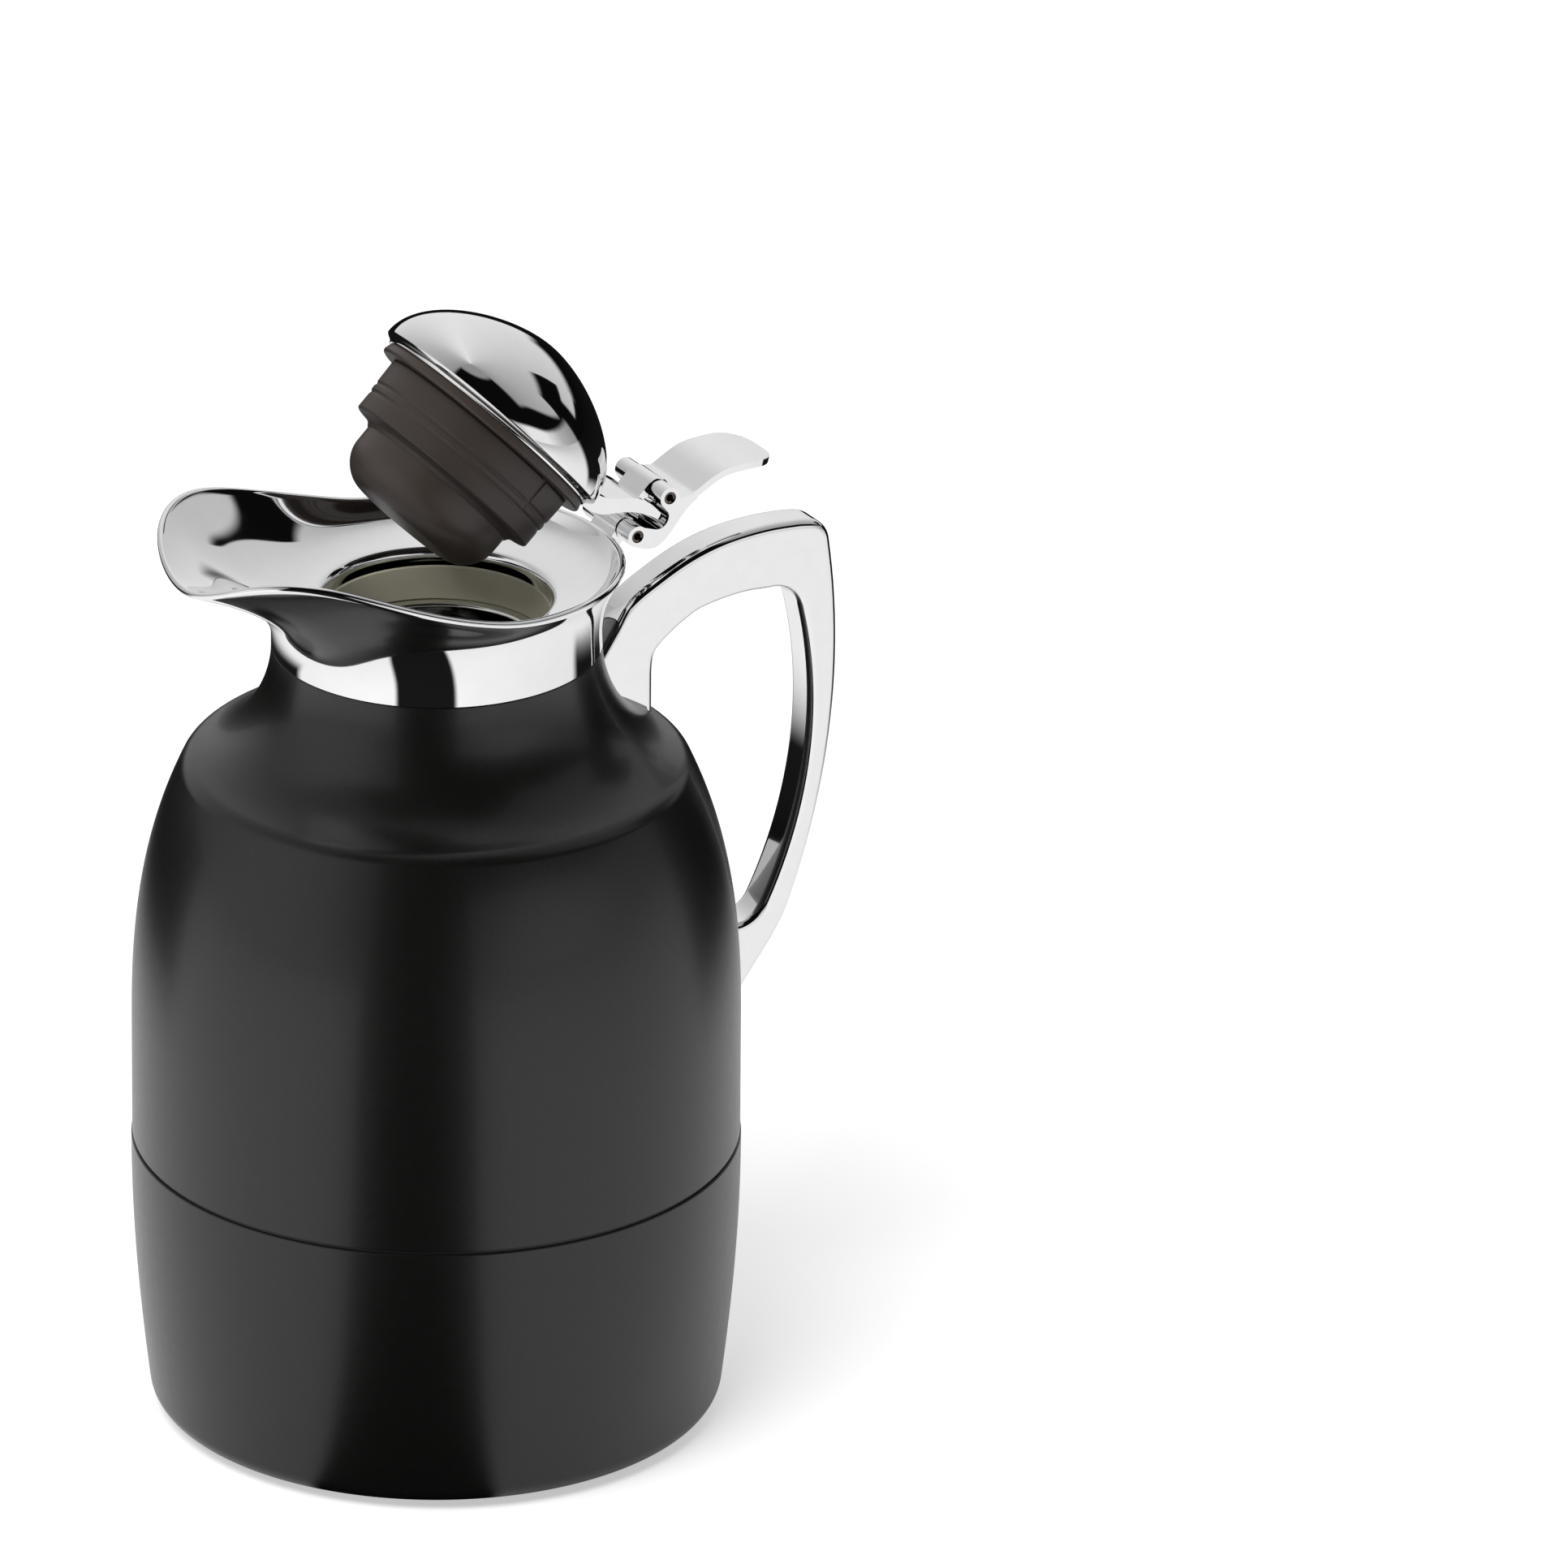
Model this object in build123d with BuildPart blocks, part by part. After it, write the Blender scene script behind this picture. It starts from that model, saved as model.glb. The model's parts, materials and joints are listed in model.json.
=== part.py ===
from build123d import *
from math import cos, pi, radians, sin
import os

# A one litre thermal jug: lacquered metal body, glass vacuum flask, chromed spout collar and handle,
# and a domed stopper lid that a thumb lever opens.
# Millimetres, +Z up. The origin is the middle of the base, where the jug stands.
# The handle points to +X and the spout to -X. The lid is drawn open, as far as the thumb lifts it.

# How finely the inside of a curved wall follows its outside
wall_steps = 48

# How far a cutting shape runs past the face that it cuts
cut_past = 1.0

# Body shells
body_radius = 69.0
seam_step = 0.2
lower_radius = body_radius + seam_step
base_taper = 4.0
base_radius = lower_radius - base_taper
lower_bow = 1.0
lower_bow_drop = 8.0
shell_wall = 0.9
seam_height = 66.0
seam_gap = 0.6
straight_wall = 30.0
wall_top = seam_height + straight_wall
neck_radius = 37.3
neck_top = 185.7
neck_lip = 3.4
shoulder_reach = 0.5457
shoulder_radius = neck_radius + shoulder_reach * (body_radius - neck_radius)
shoulder_drop = 27.3
shoulder_height = neck_top - shoulder_drop
shoulder_slope = 18.1
shoulder_turn = 47.0
shoulder_bend = 5.6
neck_pull = 10.0
shoulder_pull = 11.8
flank_pull_top = 17.0
flank_pull_bottom = 26.4
base_edge = 4.0
base_lift = 1.6
base_lip = 3.5

# Ring that joins the two shells
seam_ring_gap = 0.1
seam_ring_wall = 1.4
seam_ring_height = 13.0
seam_ring_inset = 0.4

# Skirt of the spout collar, in the shell's neck, and the nut on it
skirt_bottom = neck_top - 10.7
skirt_wall = 2.0
skirt_gap = 0.3
skirt_root = 0.5
skirt_outer = neck_radius - neck_lip - skirt_gap
skirt_inner = skirt_outer - skirt_wall
nut_height = 5.0
nut_gap = 0.15

# Glass flask
gasket_gap = 1.2
gasket_outer = skirt_inner - gasket_gap
gasket_grip = 3.4
glass_wall = 1.5
vacuum_gap = 3.5
neck_vacuum_gap = 1.2
flask_clearance = 10.0
flask_radius = body_radius - flask_clearance
flask_neck_radius = gasket_outer - gasket_grip
flask_mouth_radius = flask_neck_radius - neck_vacuum_gap - 2 * glass_wall
flask_top = neck_top - 0.5
flask_rim_height = 1.6
flask_neck_bottom = flask_top - 13.2
flask_shoulder_bottom = flask_top - 57.2
flask_wall_bottom = 52.0
flask_bottom = 24.0
flask_pull = 20.0
seal_tip_length = 8.0
seal_tip_radius = 4.0
spacer_width = 8.0
spacer_height = 8.0
spacer_level = 62.0
spacer_count = 3
spacer_gap = 0.05

# Base, from the shell's lip inwards: the foot ring, the frame, the cap and the pad
foot_gap = 0.5
foot_ring_width = 5.0
foot_outer = base_radius - base_edge - base_lip - foot_gap
foot_inner = foot_outer - foot_ring_width
frame_height = 12.0
frame_wall = 2.0
frame_floor = 3.5
frame_collar = 2.5
frame_collar_drop = 2.0
frame_gap = 0.1
frame_side_gap = 0.5
frame_corner_gap = 0.3
cap_inset = 2.2
cap_radius = foot_inner - cap_inset
cap_drop = 3.0
cap_plate = 2.4
cap_rim = 4.0
pad_thickness = 2.0
pad_edge = 0.8
pad_radius = cap_radius - 2.0
thread_clearance = 0.15
cushion_inset = 10.0
cushion_width = 18.0
cushion_outer = cap_radius - cushion_inset
cushion_inner = cushion_outer - cushion_width
pedestal_wall = 2.5
pedestal_height = 7.0

# Spout collar
mouth_inset = 4.4
mouth_radius = gasket_outer - mouth_inset
mouth_draft = 0.3
mouth_bore = mouth_radius - mouth_draft
mouth_height = neck_top + 11.6
mouth_lip_height = 3.8
mouth_lip_bottom = mouth_height - mouth_lip_height
hollow_reach = 6.0
collar_wall = 2.0
collar_corner = 1.0
collar_flare_height = neck_top + 2.3
collar_roof = neck_top + 9.9
bowl_slope = 14.0
flare_pull = 0.3
rim_thickness = 1.8
rear_rim_height = neck_top + 19.0

# The rim's stations: azimuth from the handle, reach beyond the neck, height above the rear rim, the
# lip's lean, the slope of both walls under the lip, how far the bowl starts out flat and how far it
# curls up to the lip, and the share of the outside's height that stands upright
rim_stations = (
    (0, 5.1, 0.0, 62, 62, 11.5, 4.5, 0.50),
    (20, 4.9, 0.0, 62, 62, 11.5, 4.5, 0.50),
    (40, 4.1, 0.0, 63, 62, 11.5, 4.2, 0.52),
    (60, 3.0, 0.1, 65, 62, 11.5, 3.6, 0.58),
    (75, 2.5, 0.4, 67, 60, 11.5, 3.4, 0.66),
    (90, 3.1, 1.3, 70, 58, 11.5, 4.0, 0.71),
    (105, 5.9, 4.0, 72, 54, 11.0, 7.0, 0.72),
    (120, 9.9, 8.0, 74, 52, 11.0, 10.5, 0.66),
    (135, 14.8, 12.8, 76, 53, 11.5, 13.5, 0.52),
    (150, 21.0, 16.1, 74, 54, 13.5, 16.0, 0.38),
    (160, 25.4, 14.8, 62, 48, 15.5, 17.0, 0.38),
    (170, 27.9, 10.4, 34, 30, 17.5, 16.5, 0.44),
    (180, 28.3, 7.6, 18, 18, 18.5, 16.0, 0.50),
)

# Gasket between the flask and the collar
gasket_step = 0.2
gasket_bore = mouth_bore - gasket_step
gasket_bottom = flask_top - 9.2

# Handle
handle_width = 9.4
handle_edge = 2.0
handle_screw_radius = 2.0
handle_screw_head = 3.6
handle_screw_head_height = 2.4
handle_screw_depth = 8.0
screw_hole_gap = 0.2
shell_reach = 4.0
saddle_thickness = 2.8
saddle_width = 12.0
lower_screw_drop = 10.0
lower_screw_tilt = 0.0
upper_screw_place = 0.585
upper_screw_tilt = 30.0

# Where the handle's two roots end inside the body
root_in_neck = 0.7
root_in_wall = 9.0
root_top_drop = 13.7
root_floor_drop = 8.4
lower_root_rise = 5.2
lower_root_drop = 16.0

# The handle's edge over the hand, from the neck out to the grip. Points over the shoulder are a share
# of the way from the neck to the body's wall, and points beyond the wall are a reach from it.
# Heights are from the neck's top.
crown_over_shoulder = ((0.2, -5.3), (0.325, 0.5), (0.58, 5.4), (0.852, 9.2))
crown_beyond_wall = ((4.0, 11.4), (13.8, 12.2), (22.5, 11.8), (26.2, 11.2))

# The grip's upper corners and the handle's underside, from the grip back to the shoulder
grip_top = (31.4, 5.8)
inner_top = (23.3, -9.2)
inner_bend = (16.3, -3.6)
throat_beyond_wall = (8.0, -3.3)
throat_over_shoulder = (
    (0.94, -4.7),
    (0.8045, -6.6),
    (0.653, -9.7),
    (0.571, -12.0),
    (0.5395, -13.7),
    (0.5268, -17.5),
)

# The grip's lower corners, with heights from the top of the body's straight wall
grip_heel = (21.5, 7.3)
grip_tail = ((8.4, -12.4), (-1.0, -26.0))
inner_heel = (14.4, 9.0)
inner_foot = (7.6, 4.9)

# Hinge
pin_x = neck_radius + 8.9
pin_z = rear_rim_height + 0.7
pin_spacing = 11.4
pin_radius = 1.5
pin_bore = 0.85
pin_slot = 0.8
pin_running_gap = 0.05
barrel_radius = 2.5
knuckle_radius = 2.8
barrel_half_length = 10.25
knuckle_half_width = 4.7
side_gap = 0.25
pin_half_length = 10.0

# The fixed knuckle's web, down to the collar, measured from the lower pin
bracket_web = ((-1.5, 1.5), (-4.0, -1.5), (-8.4, -7.4), (-9.2, -11.4), (-0.4, -2.6))

# Thumb lever
lever_plate_half_width = 9.5
lever_plate_thickness = 1.6
lever_tip_radius = 7.0
open_angle = 47.5

# The lever's edges with the lid closed, measured from the lower pin: the handle side, the hollow
# that the lid arm's horn rests in, the thumb plate, and where the lid's own knuckle turns
lever_back = ((1.2, -2.2), (3.4, -1.1), (5.6, 0.8), (6.4, 4.0), (5.9, 9.0), (5.6, 12.6), (6.0, 15.8))
lever_crook = ((2.4, 8.7), (3.8, 6.3), (2.2, 3.8))
lever_root = (-0.2, 2.5)
lever_shoulder = ((2.2, 13.0), (0.2, 8.9))
lever_plate = ((4.5, 15.7), (5.3, 18.8), (6.2, 22.2), (7.4, 24.8), (8.9, 26.9), (12.9, 31.3), (17.7, 35.0))
lever_notch = ((2.35, 7.0), (3.1, 11.4), (-3.1, 11.4), (-3.1, 7.0))

# Lid
lid_offset = 0.7
flange_underside = mouth_height + 1.9
flange_radius = mouth_radius + 2.5
flange_thickness = 2.6
flange_draft = 0.8
flange_bevel = (0.6, 0.5)
dome_inset = 0.2
dome_base_radius = flange_radius - dome_inset
dome_overhang = 1.8
dome_radius = dome_base_radius + dome_overhang
dome_bulge_height = 1.6
dome_bulge_bow = 0.35
dome_bulge_heading = -42
dome_height = 22.5
dome_pull_side = 11.1
dome_pull_top = 11.9
dome_wall = 1.0
core_side_gap = 0.2
core_radius = dome_base_radius - dome_wall - core_side_gap
core_height = 3.0
core_boss_radius = 16.0
core_boss_height = 9.0
core_notch_gap = 0.4
arm_half_width = 8.5
arm_screw_radius = 1.0
arm_screw_head = 2.0
arm_screw_head_height = 1.6
arm_screw_reach = 5.0
arm_screw_spacing = 9.0
arm_screw_level = 5.3
arm_screw_seat = dome_radius - 2.4

# The lid arm's edges with the lid closed, measured from the lower pin
arm_under = ((-18.0, -3.2), (-13.5, -2.9), (-10.2, -1.5), (-7.3, 1.1), (-4.0, 3.6), (-0.7, 5.2), (2.9, 6.3))
arm_over = ((3.1, 7.6), (0.5, 7.7), (-3.0, 7.4), (-5.3, 6.6), (-11.8, 2.1), (-18.0, 1.2))
arm_leg = ((-2.9, 7.0), (-3.0, 11.4), (2.8, 11.4), (2.0, 7.0))

# Stopper
bulb_clearance = 2.6
bulb_radius = flask_mouth_radius - bulb_clearance
bulb_wall = 2.0
bulb_straight_depth = 19.0
bulb_depth = 27.7
bulb_edge = 6.7
bulb_flat_radius = bulb_radius - bulb_edge
bulb_pull = 6.0
plug_gap = 0.1
plug_radius = bulb_radius - bulb_wall - plug_gap
plug_depth = 3.0
seal_top_gap = 0.7
seal_side_gap = 1.1
seal_top_radius = mouth_bore - seal_top_gap
seal_radius = mouth_bore - seal_side_gap
seal_groove = 0.35
seal_grooves = (6.8, 9.2)
seal_groove_width = 0.8
seal_lip_depth = 12.8
seal_lip_draft = 0.1
seal_heel_depth = 13.4
seal_heel_width = 1.3
seal_bottom_depth = 14.6
seal_vent_turn = 79.0
seal_vent_width = 1.5
seal_vent_depth = 0.4
foam_gap = 0.2
foam_edge = 1.5
foam_edge_drop = 2.5
foam_edge_rise = 1.0
stud_radius = 4.0
stud_height = 14.0
stud_nut_radius = 7.0
stud_nut_height = 4.0

os.makedirs("parts", exist_ok=True)


def polar(length, angle):
    """A step of a given length along a heading in a flat plane."""
    return Vector(length * cos(radians(angle)), length * sin(radians(angle)))


def spin(section, plane=Plane.XZ, mode=Mode.ADD):
    """Turn a section about the plane's upright line."""
    revolve(section, axis=Axis(plane.origin, plane.y_dir), mode=mode)


def turned(outline, plane=Plane.XZ, mode=Mode.ADD):
    """Turn a closed outline of (radius, height) corners about the plane's upright line."""
    with BuildSketch(plane) as section:
        with BuildLine():
            Polyline(*outline, close=True)
        make_face()
    spin(section.sketch, plane, mode)


def slab(outline, half_width, plane, mode=Mode.ADD):
    """Cut a flat outline through the middle plane to the same depth on both sides."""
    with BuildSketch(plane) as section:
        with BuildLine():
            Polyline(*outline, close=True)
        make_face()
    extrude(section.sketch, amount=half_width, both=True, mode=mode)


def rod(plane, radius, length, mode=Mode.ADD):
    """A round rod that starts on a plane and runs along its normal."""
    with BuildSketch(plane) as section:
        Circle(radius)
    extrude(section.sketch, amount=length, mode=mode)


def walled(skin, thickness, side):
    """Close a drawn line with its parallel, one wall away: side is 1 to its left and -1 to its right."""
    outer = skin.wire()
    inner = []
    for step in range(wall_steps + 1):
        place = step / wall_steps
        heading = outer % place
        point = outer @ place + Vector(-heading.Y, heading.X) * side * thickness
        inner.append(Vector(round(point.X, 6), round(point.Y, 6)))
    Spline(*inner)
    Line(outer @ 0, inner[0])
    Line(outer @ 1, inner[-1])


def keep(piece, label):
    """Name a finished piece and write it as its own file."""
    piece.part.label = label
    export_step(piece.part, f"parts/{label}.step")


# Profiles of the body

seam_top = seam_height + seam_gap / 2
seam_bottom = seam_height - seam_gap / 2
shoulder_start = Vector(shoulder_radius, shoulder_height)
shoulder_chord = 2 * shoulder_bend * sin(radians(shoulder_turn / 2))
shoulder_end = shoulder_start + polar(shoulder_chord, -shoulder_slope - shoulder_turn / 2)


def upper_line():
    """Draw the upper shell's outer line, from the neck down to the seam, and hand back the neck's curve."""
    neck_curve = Bezier(
        (neck_radius, neck_top),
        (neck_radius, neck_top - neck_pull),
        shoulder_start - polar(shoulder_pull, -shoulder_slope),
        shoulder_start,
    )
    TangentArc(shoulder_start, shoulder_end, tangent=polar(1, -shoulder_slope))
    Bezier(
        shoulder_end,
        shoulder_end + polar(flank_pull_top, -shoulder_slope - shoulder_turn),
        (body_radius, wall_top + flank_pull_bottom),
        (body_radius, wall_top),
    )
    Line((body_radius, wall_top), (body_radius, seam_top))
    return neck_curve


def lower_line():
    """The lower shell's outer line, from the seam down round the base edge to its inner lip."""
    edge_top = Vector(base_radius, base_lift + base_edge)
    edge_bottom = Vector(base_radius - base_edge, base_lift)
    middle = (Vector(lower_radius, seam_bottom) + edge_top) / 2 + Vector(lower_bow, -lower_bow_drop)
    ThreePointArc((lower_radius, seam_bottom), middle, edge_top)
    RadiusArc(edge_top, edge_bottom, base_edge)
    Line(edge_bottom, edge_bottom - (base_lip, 0))


with BuildPart() as upper_shell:
    with BuildSketch(Plane.XZ):
        with BuildLine() as skin:
            neck_curve = upper_line()
            walled(skin, shell_wall, -1)
        make_face()
    revolve(axis=Axis.Z)
    turned((
        (neck_radius - neck_lip, neck_top - shell_wall),
        (neck_radius - shell_wall / 2, neck_top - shell_wall),
        (neck_radius - shell_wall / 2, neck_top),
        (neck_radius - neck_lip, neck_top),
    ))

# The space that the upper shell takes up, filled: what the handle is trimmed to
with BuildPart() as body_core:
    with BuildSketch(Plane.XZ):
        with BuildLine():
            upper_line()
            Polyline((body_radius, seam_top), (0, seam_top), (0, neck_top), (neck_radius, neck_top))
        make_face()
    revolve(axis=Axis.Z)

with BuildPart() as lower_shell:
    with BuildSketch(Plane.XZ):
        with BuildLine() as skin:
            lower_line()
            walled(skin, shell_wall, -1)
        make_face()
    revolve(axis=Axis.Z)

ring_radius = body_radius - shell_wall - seam_ring_gap
with BuildPart() as seam_ring:
    turned((
        (ring_radius - seam_ring_wall, seam_height - seam_ring_height / 2),
        (ring_radius, seam_height - seam_ring_height / 2),
        (ring_radius, seam_bottom),
        (body_radius - seam_ring_inset, seam_bottom),
        (body_radius - seam_ring_inset, seam_top),
        (ring_radius, seam_top),
        (ring_radius, seam_height + seam_ring_height / 2),
        (ring_radius - seam_ring_wall, seam_height + seam_ring_height / 2),
    ))

# The glass flask: two silvered walls, joined at the mouth, with the air drawn out between them

rim_bottom = flask_top - flask_rim_height
inner_wall_radius = flask_radius - glass_wall - vacuum_gap
inner_neck_radius = flask_mouth_radius + glass_wall
flask_step = glass_wall + vacuum_gap


def glass_line(neck, body, step):
    """One glass wall's outer line, from the neck down to the middle of its round bottom."""
    Line((neck, rim_bottom), (neck, flask_neck_bottom - step))
    Bezier(
        (neck, flask_neck_bottom - step),
        (neck, flask_neck_bottom - step - flask_pull),
        (body, flask_shoulder_bottom - step + flask_pull),
        (body, flask_shoulder_bottom - step),
    )
    Line((body, flask_shoulder_bottom - step), (body, flask_wall_bottom))
    Bezier(
        (body, flask_wall_bottom),
        (body, (flask_wall_bottom + flask_bottom + step) / 2),
        (body / 2, flask_bottom + step),
        (0, flask_bottom + step),
    )


with BuildPart() as outer_glass:
    with BuildSketch(Plane.XZ):
        with BuildLine() as skin:
            glass_line(flask_neck_radius, flask_radius, 0)
            walled(skin, glass_wall, -1)
        make_face()
    revolve(axis=Axis.Z)
    turned((
        (0, flask_bottom + glass_wall / 2),
        (seal_tip_radius, flask_bottom + glass_wall / 2),
        (seal_tip_radius / 3, flask_bottom - seal_tip_length),
        (0, flask_bottom - seal_tip_length),
    ))

with BuildPart() as inner_glass:
    with BuildSketch(Plane.XZ):
        with BuildLine() as skin:
            glass_line(inner_neck_radius, inner_wall_radius, flask_step)
            walled(skin, glass_wall, -1)
        make_face()
    revolve(axis=Axis.Z)
    turned((
        (flask_mouth_radius, rim_bottom),
        (flask_neck_radius, rim_bottom),
        (flask_neck_radius, flask_top),
        (flask_mouth_radius, flask_top),
    ))
    fillet(inner_glass.edges().group_by(Axis.Z)[-1], radius=flask_rim_height * 0.45)

# The flask's outside, filled: what the cushion under it is shaped to
with BuildPart() as flask_core:
    with BuildSketch(Plane.XZ):
        with BuildLine():
            glass_line(flask_neck_radius, flask_radius, 0)
            Polyline((0, flask_bottom), (0, rim_bottom), (flask_neck_radius, rim_bottom))
        make_face()
    revolve(axis=Axis.Z)

spacer_arc = 360 * spacer_width / (2 * pi * flask_radius)
with BuildPart() as flask_spacers:
    for number in range(spacer_count):
        start = 360 / spacer_count * (number + 0.5) - spacer_arc / 2
        with BuildSketch(Plane.XZ.rotated((0, 0, start))) as section:
            with Locations(((inner_wall_radius + flask_radius - glass_wall) / 2, spacer_level)):
                Rectangle(vacuum_gap - 2 * spacer_gap, spacer_height)
        revolve(section.sketch, axis=Axis.Z, revolution_arc=spacer_arc)

# The base: a frame inside the lower shell, a screwed cap that carries the flask, and what stands
# on the table

frame_bottom = base_lift + shell_wall + frame_gap
frame_top = frame_bottom + frame_height
frame_outer = base_radius - shell_wall - frame_side_gap
with BuildPart() as base_frame:
    turned((
        (cap_radius, frame_bottom),
        (base_radius - base_edge, frame_bottom),
        (frame_outer, base_lift + base_edge - frame_corner_gap),
        (frame_outer, frame_top),
        (frame_outer - frame_wall, frame_top),
        (frame_outer - frame_wall, frame_bottom + frame_floor),
        (cap_radius + frame_collar, frame_bottom + frame_floor),
        (cap_radius + frame_collar, frame_top - frame_collar_drop),
        (cap_radius, frame_top - frame_collar_drop),
    ))

with BuildPart() as foot_ring:
    turned((
        (foot_inner, 0),
        (foot_outer, 0),
        (foot_outer, frame_bottom),
        (foot_inner, frame_bottom),
    ))

cap_outer = cap_radius - thread_clearance
cap_top = pad_thickness + cap_plate
pedestal_middle = (cushion_inner + cushion_outer) / 2
pedestal_top = cap_top + pedestal_height
with BuildPart() as base_cap:
    turned((
        (0, pad_thickness),
        (cap_outer, pad_thickness),
        (cap_outer, frame_top - cap_drop),
        (cap_outer - cap_rim, frame_top - cap_drop),
        (cap_outer - cap_rim, cap_top),
        (pedestal_middle + pedestal_wall, cap_top),
        (pedestal_middle + pedestal_wall, pedestal_top),
        (pedestal_middle - pedestal_wall, pedestal_top),
        (pedestal_middle - pedestal_wall, cap_top),
        (0, cap_top),
    ))

with BuildPart() as base_pad:
    turned((
        (0, 0),
        (pad_radius - pad_edge, 0),
        (pad_radius, pad_edge),
        (pad_radius, pad_thickness),
        (0, pad_thickness),
    ))

with BuildPart() as flask_cushion:
    turned((
        (cushion_inner, pedestal_top),
        (cushion_outer, pedestal_top),
        (cushion_outer, flask_wall_bottom),
        (cushion_inner, flask_wall_bottom),
    ))
    add(flask_core.part, mode=Mode.SUBTRACT)

# The spout collar: a neck, a flared rim that rises into the spout, and a bowl down to the pouring mouth.
# Half of it is drawn through sections that stand round the axis, and the other half is its mirror image.

mouth = Vector(mouth_radius, mouth_height)
flare = Vector(neck_radius, collar_flare_height)
with BuildPart() as spout_collar:
    for azimuth, reach, rise, lean, slope, flat, curl, upright in rim_stations:
        around = (cos(radians(azimuth)), -sin(radians(azimuth)), 0)
        facing = (-sin(radians(azimuth)), -cos(radians(azimuth)), 0)
        crest = Vector(neck_radius + reach, rear_rim_height + rise)
        out = polar(rim_thickness / 2, lean)
        across = polar(rim_thickness / 2, lean - 90)
        inner_edge = crest - out - across
        outer_edge = crest - out + across
        flare_line = outer_edge - flare
        with BuildSketch(Plane(origin=(0, 0, 0), x_dir=around, z_dir=facing)):
            with BuildLine():
                Line((mouth_bore, neck_top), mouth)
                Bezier(
                    mouth,
                    mouth + polar(flat, bowl_slope),
                    inner_edge - polar(curl, slope),
                    inner_edge,
                )
                ThreePointArc(inner_edge, crest, outer_edge)
                Bezier(
                    outer_edge,
                    outer_edge - polar(flare_pull * flare_line.length, slope),
                    flare + (0, upright * flare_line.Y),
                    flare,
                )
                Polyline(flare, (neck_radius, neck_top), (mouth_bore, neck_top))
            make_face()
    loft()
    mirror(about=Plane.XZ)
    turned((
        (mouth_radius - hollow_reach, neck_top - cut_past),
        (neck_radius - collar_wall, neck_top - cut_past),
        (neck_radius - collar_wall, collar_roof - collar_corner),
        (neck_radius - collar_wall - collar_corner, collar_roof),
        (mouth_bore + collar_wall, collar_roof),
        (mouth_bore + collar_wall, mouth_lip_bottom),
        (mouth_radius - hollow_reach, mouth_lip_bottom),
    ), mode=Mode.SUBTRACT)
    turned((
        (skirt_inner, skirt_bottom),
        (skirt_outer, skirt_bottom),
        (skirt_outer, collar_roof + skirt_root),
        (skirt_inner, collar_roof + skirt_root),
    ))

# The nut that pulls the collar down onto the shell's neck
nut_top = neck_top - shell_wall
with BuildPart() as collar_nut:
    turned((
        (skirt_outer + thread_clearance, nut_top - nut_height),
        (neck_radius - shell_wall - nut_gap, nut_top - nut_height),
        (neck_radius - shell_wall - nut_gap, nut_top),
        (skirt_outer + thread_clearance, nut_top),
    ))

# The gasket that stands on the flask's rim and grips its neck
with BuildPart() as mouth_gasket:
    turned((
        (gasket_bore, mouth_lip_bottom),
        (gasket_outer, mouth_lip_bottom),
        (gasket_outer, gasket_bottom),
        (flask_neck_radius, gasket_bottom),
        (flask_neck_radius, flask_top),
        (gasket_bore, flask_top),
    ))

# The handle, its two screws from inside the shell, and the saddles under their heads


def over_shoulder(points):
    """Points given as a share of the way from the neck to the body's wall, with their height."""
    return [(neck_radius + share * (body_radius - neck_radius), neck_top + rise) for share, rise in points]


def beyond_wall(points, level):
    """Points given by their reach beyond the body's wall, and by their height over a level."""
    return [(body_radius + reach, level + rise) for reach, rise in points]


root_radius = neck_radius + root_in_neck
root_floor = shoulder_height - root_floor_drop
lower_root_radius = body_radius - root_in_wall
crown_points = [
    (root_radius, neck_top - root_top_drop),
    *over_shoulder(crown_over_shoulder),
    *beyond_wall(crown_beyond_wall, neck_top),
]
crown_end, bend_start, bend_end, throat_start = beyond_wall(
    (grip_top, inner_top, inner_bend, throat_beyond_wall), neck_top
)
throat_points = [throat_start, *over_shoulder(throat_over_shoulder)]
heel, tail_middle, tail_end, heel_end, heel_start = beyond_wall(
    (grip_heel, *grip_tail, inner_heel, inner_foot), wall_top
)

with BuildPart() as handle:
    with BuildSketch(Plane.XZ):
        with BuildLine():
            crown = Spline(*crown_points)
            corner = TangentArc(crown_points[-1], crown_end, tangent=crown % 1)
            belly = TangentArc(crown_end, heel, tangent=corner % 1)
            Spline(heel, tail_middle, tail_end, tangents=(belly % 1, Vector(tail_end) - Vector(tail_middle)))
            Polyline(
                tail_end,
                (lower_root_radius, wall_top - lower_root_drop),
                (lower_root_radius, wall_top + lower_root_rise),
                heel_start,
            )
            inner_arc = TangentArc(heel_start, heel_end, tangent=(1, 0))
            inside = TangentArc(heel_end, bend_start, tangent=inner_arc % 1)
            bend = TangentArc(bend_start, bend_end, tangent=inside % 1)
            Spline(bend_end, *throat_points, tangents=(bend % 1, (0, -1)))
            Polyline(
                throat_points[-1],
                (throat_points[-1][0], root_floor),
                (root_radius, root_floor),
                crown_points[0],
            )
        make_face()
    extrude(amount=handle_width / 2, both=True)
    fillet(handle.faces().sort_by(Axis.Y)[0].edges(), radius=handle_edge)
    fillet(handle.faces().sort_by(Axis.Y)[-1].edges(), radius=handle_edge)
    add(body_core.part, mode=Mode.SUBTRACT)

# Planes where the handle's screws pass the shell, facing along each screw towards the handle
upper_screw = neck_curve @ upper_screw_place
screw_planes = []
for reach, height, tilt in (
    (body_radius, wall_top - lower_screw_drop, lower_screw_tilt),
    (upper_screw.X, upper_screw.Y, upper_screw_tilt),
):
    heading = (cos(radians(tilt)), 0, sin(radians(tilt)))
    screw_planes.append(Plane(origin=(reach, 0, height), x_dir=(0, 1, 0), z_dir=heading))

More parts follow.
